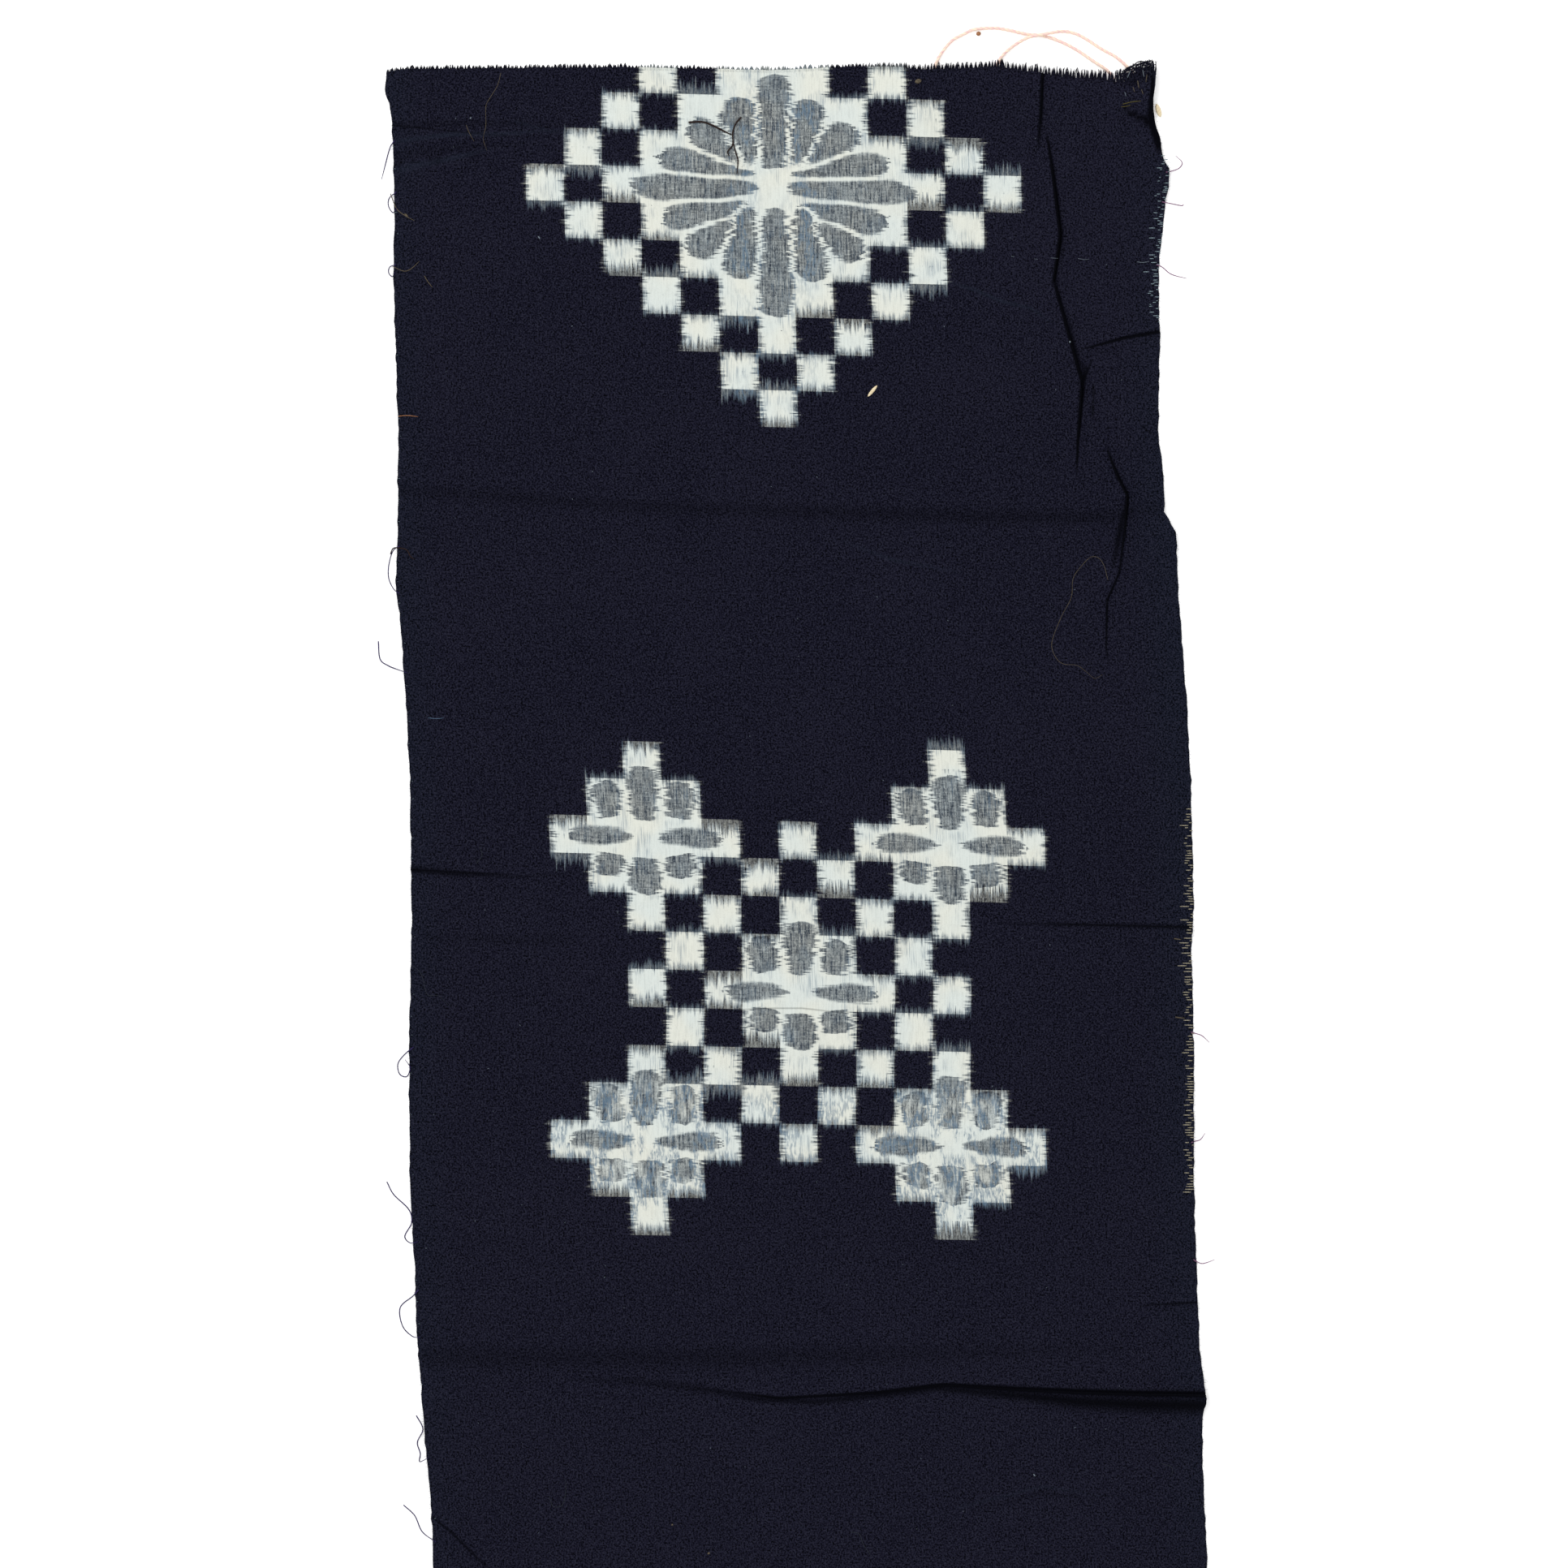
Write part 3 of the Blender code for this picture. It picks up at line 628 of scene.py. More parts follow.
def soft_line(place, start, end, mark, onward):
    """A soft line between two places of the weave, as wide and as strong as at its two ends."""
    step = (end[0] - start[0], end[1] - start[1])
    square = step[0] ** 2 + step[1] ** 2
    off = place.vectors("SUBTRACT", (*start, 0.0))
    share = off.vectors("DOT_PRODUCT", (step[0] / square, step[1] / square, 0.0), "Value").clamped()
    nearest = vector_of(place.tree, *step).vectors("SCALE", share)
    distance = off.vectors("DISTANCE", nearest, "Value")
    width = share.times_plus(onward.half_width - mark.half_width, mark.half_width)
    shade = share.times_plus(abs(onward.shade) - abs(mark.shade), abs(mark.shade))
    return distance.eased(width, 0.0) * shade


def fold_shade_and_light(tree, across, along):
    """All the soft lines: how much darker a place is painted as shade, and how much paler as light.
    """
    place = vector_of(tree, across, along)
    totals = {True: None, False: None}
    for line in MARKS:
        ends = [weave_spot(mark.x, mark.y) for mark in line]
        for mark, onward, start, end in zip(line, line[1:], ends, ends[1:]):
            one = soft_line(place, start, end, mark, onward)
            darker = mark.shade > 0.0
            totals[darker] = one if totals[darker] is None else totals[darker].most(one)
    return totals[True], totals[False]


def dye_group(cloth):
    """The tied dyeing of both yarns at a place of the weave, in millimetres."""
    outputs = ("Warp White", "Weft White", "Warp Yarn", "Weft Yarn", "Column", "Row")
    group = Group("Kasuri Dye", ("Across", "Along"), outputs)
    tree = group.tree
    tied = tied_group(chart_group())
    chrysanthemum = flower_group("Chrysanthemum", MEDALLION_PETALS)
    flower = flower_group("Small Flower", FLOWER_PETALS)

    cross = group["Along"].under(PATTERN_SPLIT)
    line = cross * (CROSS_LINE - MEDALLION_LINE) + MEDALLION_LINE
    height = cross * (cloth.cross_cell - cloth.medallion_cell) / MM + cloth.medallion_cell / MM
    column = group["Across"] / (cloth.cell_width / MM)
    row = (group["Along"] - line) / height
    warp_yarn = (column * cloth.yarns_in_cell).floor()
    weft_yarn = (row * cloth.picks_in_cell).floor() + cross * 1000.0
    whole_column, whole_row = column.nearest(), row.nearest()

    # Warp: a tied bundle slips at each end of a cell, and each of its yarns by its own share
    end = row.floor() + cross * 40.0
    bundle = chance(whole_column, end, 3.0).signed()
    drift = bundle * abs(bundle) * cloth.column_slip
    share = chance(warp_yarn, end, 17.0) * 0.9 + 0.4
    strand = (column * cloth.yarns_in_cell / 2.6 + mottle(column * 9.0, end)).floor()
    own = chance(warp_yarn, end, 11.0).signed() + chance(strand, end, 12.0).signed()
    slipped_row = row + drift * share + own * cloth.yarn_slip
    warp = use(tree, tied, Column=whole_column, Cross=cross, Place=slipped_row,
               Softness=cloth.warp_creep, Along_Row=1.0)

    # Weft: a row of picks slips a little, and single picks reach out further
    side = column.floor()
    wander = chance(whole_row, side, 5.0).signed() * cloth.row_slip
    pick = chance(weft_yarn, side, 29.0).signed()
    few = chance((weft_yarn / 2.0).floor(), side, 31.0).signed()
    stray = (pick * abs(pick) * 1.6 + few * 0.7) * cloth.yarn_slip
    slipped_column = column + wander + stray
    weft = use(tree, tied, Row=whole_row, Cross=cross, Place=slipped_column,
               Softness=cloth.weft_creep, Along_Row=0.0)

    bend = (mottle(column * 0.9 + cross * 30.0, row * 0.9) - 0.5) * 0.16
    flower_row = row + bend + own * 0.004
    big = use(tree, chrysanthemum, X=slipped_column, Y=flower_row)
    outer = (abs(whole_column) + abs(whole_row)).over(4.5) * 4.0
    lower = group["Along"].eased(*LOWER_FLOWERS)
    muddle = lower * 0.20
    muddle_x = (mottle(column * 2.6, row * 1.3 + 50.0) - 0.5) * muddle
    muddle_y = (mottle(column * 2.6 + 20.0, row * 1.3) - 0.5) * muddle
    small_x = slipped_column - outer * column.maths("SIGN") + muddle_x
    small_y = flower_row - outer * row.maths("SIGN") + muddle_y
    small = use(tree, flower, X=small_x, Y=small_y)
    haze = mottle(column * 5.0, row * 1.8 + 80.0, 2.0).eased(0.40, 0.62)
    haze = haze * (abs(small_y) - 0.4).eased(0.0, 0.2) * lower * -0.55 + 1.0
    near = (abs(small_x) + abs(small_y)).under(2.6)
    petals = big * cross.inverse() + small * haze * near * cross

    group.give("Warp White", warp)
    thin = chance(weft_yarn, (column * 5.0).floor(), 37.0) * 0.22 + 0.76
    group.give("Weft White", weft * (petals * thin).inverse())
    group.give("Warp Yarn", warp_yarn)
    group.give("Weft Yarn", weft_yarn)
    group.give("Column", column)
    group.give("Row", row)
    return tree


def new_material(name):
    """An empty principled material and its tree."""
    material = bpy.data.materials.new(name)
    material.use_nodes = True
    return material, material.node_tree, material.node_tree.nodes["Principled BSDF"]


def finish_cotton(shader, cloth, colour, height, relief, roughness):
    """Feeds a cotton material, with a relief of this strength and depth."""
    tree = colour.tree
    tree.links.new(colour.socket, shader.inputs["Base Color"])
    bump = tree.nodes.new("ShaderNodeBump")
    set_inputs(bump, Strength=relief[0], Distance=relief[1])
    join(tree, height, bump.inputs["Height"])
    tree.links.new(bump.outputs[0], shader.inputs["Normal"])
    join(tree, roughness, shader.inputs["Roughness"])
    set_inputs(shader, Specular_IOR_Level=cloth.gloss, Sheen_Weight=cloth.fuzz,
               Sheen_Roughness=0.6, Sheen_Tint=(0.75, 0.80, 0.95, 1.0))


def weave_coordinates(tree):
    """The place in the weave, in millimetres, from the sheet's own map."""
    node = tree.nodes.new("ShaderNodeUVMap")
    node.uv_map = "Weave"
    split = tree.nodes.new("ShaderNodeSeparateXYZ")
    tree.links.new(node.outputs[0], split.inputs[0])
    return Signal(tree, split.outputs[0]), Signal(tree, split.outputs[1])


# What a white warp and a white weft each add to a place's whiteness, and what both add more
WARP_WHITE, WEFT_WHITE, BOTH_WHITE = 0.176, 0.19, 0.624


def kasuri_material(cloth, dye, woven):
    """Double ikat cotton: woven with its interlacing, or as loose yarn ends of the same dye."""
    material, tree, shader = new_material("kasuri_cotton" if woven else "kasuri_yarn_ends")
    across, along = weave_coordinates(tree)
    warp, weft, warp_yarn, weft_yarn, column, row = use(tree, dye, Across=across, Along=along)

    # Streaks along each yarn, where the dye crept under the ties, and the grain of the crossings
    grain = chance(warp_yarn, weft_yarn).signed()
    streak = mottle(across * 1.9, along * 0.085, 3.0).eased(0.40, 0.74)
    strand = chance(warp_yarn, (along / 6.0).floor(), 2.0).signed()
    fluff = (mottle(across * 1.25, along * 0.16 + 60.0, 3.0) - 0.5) * 3.2
    if not woven:
        weft = weft * 0.35
    both = warp * weft
    white = warp * WARP_WHITE + weft * WEFT_WHITE + both * BOTH_WHITE
    plain = both.inverse() * 0.86 + 0.07
    tone = (grain * 0.42 + strand * 0.55 + fluff * 0.90) * plain
    tone = tone - streak * (weft * -0.80 + 1.0) * 0.30
    white = white * (tone + 1.0).most(0.08)
    ground_streak = mottle(across * 0.8, along * 0.02 + 9.0, 2.0)
    ground_cloud = mottle(across * 0.018 + 5.0, along * 0.018, 3.0)
    selvedge = abs(across + 1.0).eased(148.0, 176.0)
    low = along.eased(40.0, -330.0)
    shoulder = across.eased(60.0, 120.0) * along.eased(150.0, 250.0)
    wear = mottle(across * 1.35, along * 1.35, 3.0).eased(0.34, 0.66) * 0.9 + grain * 0.36 + 0.05
    indigo = cloth.indigo_deep
    for share, dyed in ((ground_streak.eased(0.2, 0.8), cloth.indigo),
                        (ground_cloud.eased(0.35, 0.75) * 0.6, cloth.indigo_pale),
                        (selvedge * 0.85, cloth.selvedge_teal),
                        (low * 0.35, cloth.indigo_pale),
                        (shoulder * 0.55, cloth.indigo_pale),
                        ((wear * 1.45 - 0.73).most(0.0), cloth.worn),
                        ((wear * -1.7 + 0.82).most(0.0), cloth.unfaded_and_crease_shade)):
        indigo = blend(tree, share, indigo, dyed)
    warm = mottle(across * 0.05, along * 0.05 + 70.0, 1.0).eased(0.3, 0.7)
    cotton = blend(tree, warm, cloth.white_cool, cloth.white_warm)
    colour = blend(tree, white, indigo, cotton)
    patch = mottle(across * 0.11, along * 0.075 + 40.0, 2.0).eased(0.50, 0.66)
    creep = warp * warp.inverse() * 2.0 + streak * patch * warp * 0.8
    creep = creep * (weft * 0.5 + 0.5) + weft * weft.inverse() * warp * 0.9
    bruise = mottle(across * 0.17 + 8.0, along * 0.08, 2.0).eased(0.44, 0.58)
    bruise = bruise * mottle(across * 1.1, along * 0.30 + 15.0, 2.0).eased(0.36, 0.62)
    medallion = along.over(PATTERN_SPLIT)
    blue = abs(abs(column) - 0.75).eased(0.60, 0.15) * medallion
    lower = along.eased(*LOWER_FLOWERS)
    blue = (blue + lower * 1.1 + 0.12) * bruise
    blue = blue * (warp * weft.inverse() * 0.55 + both * (lower * 0.24 + 0.20))
    speck = mottle(across * 1.6, along * 0.7 + 33.0, 2.0).eased(0.55, 0.66) * warp * lower
    blue = blue + speck * abs(column).eased(2.2, 3.0) * bruise * 0.60
    tint = (creep * cloth.stain_strength + warp * weft.inverse() * 0.12 + blue).least(0.75)
    colour = blend(tree, tint, colour, cloth.stain)
    if woven:
        # Painted light along the fold ridges, and painted shade along the folds
        darker, paler = fold_shade_and_light(tree, across, along)
        colour = blend(tree, paler * both.inverse() * 0.7, colour, cloth.painted_ridge_light)
        colour = blend(tree, darker, colour, cloth.unfaded_and_crease_shade)
        # Painted shade in the creases, from the per-vertex crease mask
        crease = tree.nodes.new("ShaderNodeAttribute")
        crease.attribute_name = "Unfaded"
        painted_crease = Signal(tree, crease.outputs["Fac"]) * cloth.crease_depth
        colour = blend(tree, painted_crease, colour, cloth.unfaded_and_crease_shade)

    nap = mottle(across * 2.6, along * 2.6 + 3.0, 2.0)
    slub = mottle(across * 1.2, along * 0.12 + 21.0, 2.0)
    height = nap * 0.4 + slub * 0.6
    if woven:
        ridge = (column * (cloth.yarns_in_cell * math.pi)).maths("SINE")
        pick = (row * (cloth.picks_in_cell * math.pi)).maths("SINE")
        height = height + abs(ridge) * 0.35 + abs(pick) * 0.25
    relief = (cloth.bump_strength, cloth.bump_depth)
    finish_cotton(shader, cloth, colour, height, relief, nap * 0.12 + 0.84)
    return material


def spun_group():
    """The look of spun yarn along a tube's own map: its twist and its uneven colour."""
    group = Group("Spun Yarn", ("Around", "Along", "Plies", "Twist"), ("Ply", "Mottle"))
    turn = group["Around"] * group["Plies"] + group["Along"] * group["Twist"]
    ply = (turn * (2.0 * math.pi)).maths("SINE") * 0.5 + 0.5
    group.give("Ply", ply)
    group.give("Mottle", mottle(group["Along"] * 0.35, group["Around"] * 3.0, 3.0))
    return group.tree


YARN_RELIEF = (0.5, 0.00006)


def yarn_material(name, spun, cloth, colour, shade, twist):
    """A spun yarn or thread of one colour, with its shade colour painted as shade between its plies
    and also along uneven stretches.
    """
    material, tree, shader = new_material(name)
    across, along = weave_coordinates(tree)
    ply, uneven = use(tree, spun, Around=across, Along=along, Plies=2.0, Twist=twist)
    share = ply.inverse() * 0.45 + uneven.eased(0.35, 0.75) * 0.55
    tint = blend(tree, share, colour, shade)
    finish_cotton(shader, cloth, tint, ply + uneven * 0.5, YARN_RELIEF, uneven * 0.15 + 0.80)
    return material


# Mesh


def new_object(name, mesh, material):
    """A visible piece that rides on the cloth's body."""
    mesh.materials.append(material)
    piece = bpy.data.objects.new(name, mesh)
    bpy.context.collection.objects.link(piece)
    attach(piece, "root")
    return piece


def add_map(mesh, name, values):
    """A map with one value for each vertex."""
    layer = mesh.uv_layers.new(name=name)
    loops = np.empty(len(mesh.loops), dtype=np.int32)
    mesh.loops.foreach_get("vertex_index", loops)
    layer.data.foreach_set("uv", np.asarray(values, dtype=np.float32)[loops].ravel())


def spread(start, end, spacing):
    """Even places from start to end, about the spacing apart."""
    return np.linspace(start, end, max(1, round((end - start) / spacing)) + 1)


PINCH_LINES = (-6.0, -4.4, -3.2, -2.2, -1.5, -0.9, -0.45, -0.12, 0.12, 0.32, 0.55, 0.85, 1.2, 1.7,
               2.4, 3.3, 4.6, 6.0)
Anchor = namedtuple("Anchor", "mark place")


def tuck_lines(y):
    """The lines of the two bands of close columns at one height of the plan."""
    upper, long, short = [fold for fold in FOLDS if fold.runs == "along"]
    stations = [station for station in upper.stations if station.at > UPPER_TUCK_END]
    first = read_table(stations + list(long.stations[1:]), "at", "line", y)
    return first, read_table(short.stations, "at", "line", y)


def sheet_columns(spacing):
    """The marks of the sheet's columns, close together at the tucks and by the right edge."""
    left, right = SIDES[0].left, SIDES[-1].right
    first, second = tuck_lines(0.0)
    reach = PINCH_LINES[-1]
    marks = list(spread(left, first - reach, spacing))
    marks += [first + line for line in PINCH_LINES[1:]]
    marks += list(spread(first + reach, second - reach, spacing))[1:]
    marks += [second + line for line in PINCH_LINES[1:]]
    marks += list(spread(second + reach, right, spacing * 0.45))[1:]
    return np.array(marks)


def column_places(marks, y):
    """The x of each column at one height of the plan."""
    reach = PINCH_LINES[-1]
    first, second = tuck_lines(0.0)
    near, far = tuck_lines(y)
    keys = (SIDES[0].left, first - reach, first + reach, second - reach, second + reach,
            SIDES[-1].right)
    places = (edge_at("left", y), near - reach, near + reach, far - reach,
              far + reach, edge_at("right", y))
    return np.interp(marks, keys, places)


def sheet_rows(spacing):
    """The marks of the sheet's rows, close together at the folds that run across."""
    bottom, top = min(end.y for end in CUT_END), max(end.y for end in TOP_END)
    folds = [fold for fold in FOLDS if fold.runs == "across"]
    reach = PINCH_LINES[-1]
    marks = [bottom]
    for fold in sorted(folds, key=middle_line):
        line = middle_line(fold)
        sharp = max(station.rise for station in fold.stations) > SHARP_RISE
        offsets = PINCH_LINES if sharp else PINCH_LINES[::3] + (reach,)
        marks += list(spread(marks[-1], line - reach, spacing))[1:]
        marks += [line + offset for offset in offsets[1:]]
    marks += list(spread(marks[-1], top, spacing))[1:]
    return marks


def middle_line(fold):
    """Where a fold's line is at the middle of its stations."""
    return fold.stations[len(fold.stations) // 2].line


def row_places(mark, x):
    """The y of one row: it bends to follow the two ends and each fold's line."""
    bottom, top = min(end.y for end in CUT_END), max(end.y for end in TOP_END)
    anchors = [Anchor(bottom, read_table(CUT_END, "x", "y", x) - bottom)]
    anchors.append(Anchor(top, woven_top(x) - top))
    reach = PINCH_LINES[-1]
    for fold in FOLDS:
        if fold.runs == "across":
            line = middle_line(fold)
            shift = read_table(fold.stations, "at", "line", x) - line
            anchors += [Anchor(line - reach, shift), Anchor(line + reach, shift)]
    anchors.sort(key=lambda anchor: anchor.mark)
    for low, high in zip(anchors, anchors[1:]):
        if low.mark <= mark <= high.mark:
            share = (mark - low.mark) / (high.mark - low.mark)
            return mark + low.place * (1.0 - share) + high.place * share
    return mark + anchors[-1].place


def unevenness(x, y):
    """Very low waves that any cloth has, in millimetres."""
    waves = np.sin(x * 0.061 + y * 0.023) + np.sin(y * 0.047 - x * 0.019 + 1.3)
    return 0.05 * (waves + np.sin(x * 0.13 + 2.0) * np.sin(y * 0.11) + 3.0)


def sheet_points(cloth):
    """The middle surface of the sheet: rows of x, y and the height of its underside."""
    marks = sheet_columns(cloth.grid / MM)
    lines = []
    for mark in sheet_rows(cloth.grid / MM):
        x = column_places(marks, mark)
        lines.append(np.stack([x, row_places(mark, x)], axis=-1))
    plan = np.array(lines)
    draw = np.random.default_rng(cloth.seed)
    marks_y = plan[:, 0, 1]
    for column in (0, -1):
        wave = np.zeros(len(plan))
        for length in (5.5, 9.0, 17.0, 31.0):
            wave += 0.11 * np.sin(marks_y * 2.0 * math.pi / length + draw.uniform(0.0, 6.0))
        plan[:, column, 0] += wave + draw.normal(0.0, 0.05, len(plan))
    plan[-1, :, 1] -= draw.random(plan.shape[1]) * 0.4
    x, y = plan[..., 0], plan[..., 1]
    under = rise_at(x, y) + unevenness(x, y)
    return x, y, under


def sheet_mesh(cloth):
    """A thin closed sheet with the weave's map and a map for its finished colours."""
    x, y, under = sheet_points(cloth)
    rows, columns = x.shape
    lower = np.stack([(x - MIDDLE_X) * MM, (y - MIDDLE_Y) * MM, under * MM], axis=-1)
    upper = lower + (0.0, 0.0, cloth.thickness)
    points = np.concatenate([lower.reshape(-1, 3), upper.reshape(-1, 3)])
    number = np.arange(rows * columns).reshape(rows, columns)
    a, b = number[:-1, :-1].ravel(), number[:-1, 1:].ravel()
    c, d = number[1:, 1:].ravel(), number[1:, :-1].ravel()
    count = rows * columns
    faces = [np.stack([a, d, c, b], axis=-1), np.stack([a, b, c, d], axis=-1) + count]
    rim = np.concatenate([number[0], number[1:, -1], number[-1, -2::-1], number[-2:0:-1, 0]])
    onward = np.roll(rim, -1)
    faces.append(np.stack([rim, onward, onward + count, rim + count], axis=-1))
    mesh = bpy.data.meshes.new("kasuri_sheet")
    mesh.from_pydata(points.tolist(), [], np.concatenate(faces).tolist())
    across, along = weave_place(x, y)
    weave = np.stack([across.ravel(), along.ravel()], axis=-1)
    add_map(mesh, "Weave", np.concatenate([weave, weave]))
    # Painted shade: the folds' dark crease lines, kept per vertex for the material
    shade = np.zeros(x.shape)
    for fold in FOLDS + FAINT_FOLDS:
        shade = np.maximum(shade, fold_shade(fold, x, y))
    painted_crease = mesh.attributes.new("Unfaded", "FLOAT", "POINT")
    painted_crease.data.foreach_set("value", np.tile(shade.ravel(), 2).astype(np.float32))
    add_face_map(mesh, points)
    mesh.shade_smooth()
    return mesh


def add_face_map(mesh, points):
    """The map for finished colours: the face, the underside beside it, and the rim apart."""
    low, high = points.min(axis=0), points.max(axis=0)
    size = (high - low)[1]
    layer = mesh.uv_layers.new(name="OFBake")
    values = np.empty((len(mesh.loops), 2), dtype=np.float32)
    loops = np.empty(len(mesh.loops), dtype=np.int32)
    mesh.loops.foreach_get("vertex_index", loops)
    plan = (points[loops][:, :2] - low[:2]) / size
    half = len(points) // 2
    quads = loops.reshape(-1, 4)
    on_top = (quads >= half).all(axis=1)
    below = (quads < half).all(axis=1)
    corner_top = np.repeat(on_top, 4)
    corner_below = np.repeat(below, 4)
    shrink = 0.94
    values[:] = plan * shrink * 0.98 + (0.005, 0.02)
    turned = plan * shrink * 0.86
    values[corner_below] = turned[corner_below] + (0.51, 0.02)
    rim = ~(corner_top | corner_below)
    edge = np.flatnonzero(~(on_top | below))
    strip = np.linspace(0.002, 0.998, len(edge) + 1)
    start = np.stack([strip[:-1], np.full(len(edge), 0.975)], axis=-1)
    stop = np.stack([strip[1:], np.full(len(edge), 0.975)], axis=-1)
    lift = (0.0, 0.012)
    block = np.stack([start, stop, stop + lift, start + lift], axis=1)
    values[rim] = block.reshape(-1, 2)
    layer.data.foreach_set("uv", values.ravel())


def tube_points(path, radii, sides, start_turn=0.0):
    """Rings of points round a path, kept level so that a tube doesn't roll."""
    rings = []
    for index, place in enumerate(path):
        ahead = path[min(index + 1, len(path) - 1)] - path[max(index - 1, 0)]
        ahead = ahead.normalized() if ahead.length > 0 else Vector((0, 1, 0))
        aside = ahead.cross(Vector((0, 0, 1)))
        aside = aside.normalized() if aside.length > 1e-6 else Vector((1, 0, 0))
        above = aside.cross(ahead)
        ring = []
        for side in range(sides):
            angle = start_turn + 2.0 * math.pi * side / sides
            radius = radii[index] if not callable(radii) else radii(index, angle)
            ring.append(place + (aside * math.cos(angle) + above * math.sin(angle)) * radius)
        rings.append(ring)
    return rings


class TubeBuilder:
    """Collects many closed tubes into one mesh, each with a map value for every point."""

    def __init__(self):
        self.points = []
        self.faces = []
        self.maps = []

    def add(self, rings, map_values):
        """Adds one tube from its rings of points; both ends are closed."""
        start, sides = len(self.points), len(rings[0])
        for ring, values in zip(rings, map_values):
            self.points += [tuple(point) for point in ring]
            self.maps += values
        for r in range(len(rings) - 1):
            for s in range(sides):
                a = start + r * sides + s
                b = start + r * sides + (s + 1) % sides
                self.faces.append((a, b, b + sides, a + sides))
        self.faces.append(tuple(start + s for s in reversed(range(sides))))
        last = start + (len(rings) - 1) * sides
        self.faces.append(tuple(last + s for s in range(sides)))

    def add_yarn(self, path, thick, sides, taper=0.5):
        """Adds a fine yarn that thins at its free end, this many millimetres thick."""
        last = len(path) - 1
        radii = [thick * MM / 2.0 * (1.0 - taper * max(0.0, index / last - 0.7) / 0.3)
                 for index in range(last + 1)]
        self.add(tube_points(path, radii, sides, math.pi / 4.0), tube_maps(path, sides))

    def mesh(self, name):
        mesh = bpy.data.meshes.new(name)
        mesh.from_pydata(self.points, [], self.faces)
        add_map(mesh, "Weave", self.maps)
        mesh.shade_smooth()
        return mesh


def smooth_path(points, steps):
    """A smooth curve through the points, with this many steps between each two."""
    ends = [points[0] * 2 - points[1]] + points + [points[-1] * 2 - points[-2]]
    path = []
    for before, start, stop, after in zip(ends, ends[1:], ends[2:], ends[3:]):
        for step in range(steps):
            t = step / steps
            bend = (before * -1 + start * 3 - stop * 3 + after) * t ** 3
            bend += (before * 2 - start * 5 + stop * 4 - after) * t ** 2
            bend += (stop - before) * t
            path.append((bend + start * 2) * 0.5)
    path.append(points[-1])
    return path


# Settings


def colour_setting(name, description, default):
    """A setting that is a colour."""
    return bpy.props.FloatVectorProperty(name=name, description=description, default=default,
                                         subtype="COLOR", size=3, min=0.0, max=1.0)


def length_setting(name, description, default, least):
    """A setting that is a length."""
    return bpy.props.FloatProperty(name=name, description=description, default=default,
                                   min=least, unit="LENGTH", precision=5)


def share_setting(name, description, default, least, most):
    """A setting that is a plain number between two limits."""
    return bpy.props.FloatProperty(name=name, description=description, default=default,
                                   min=least, max=most)


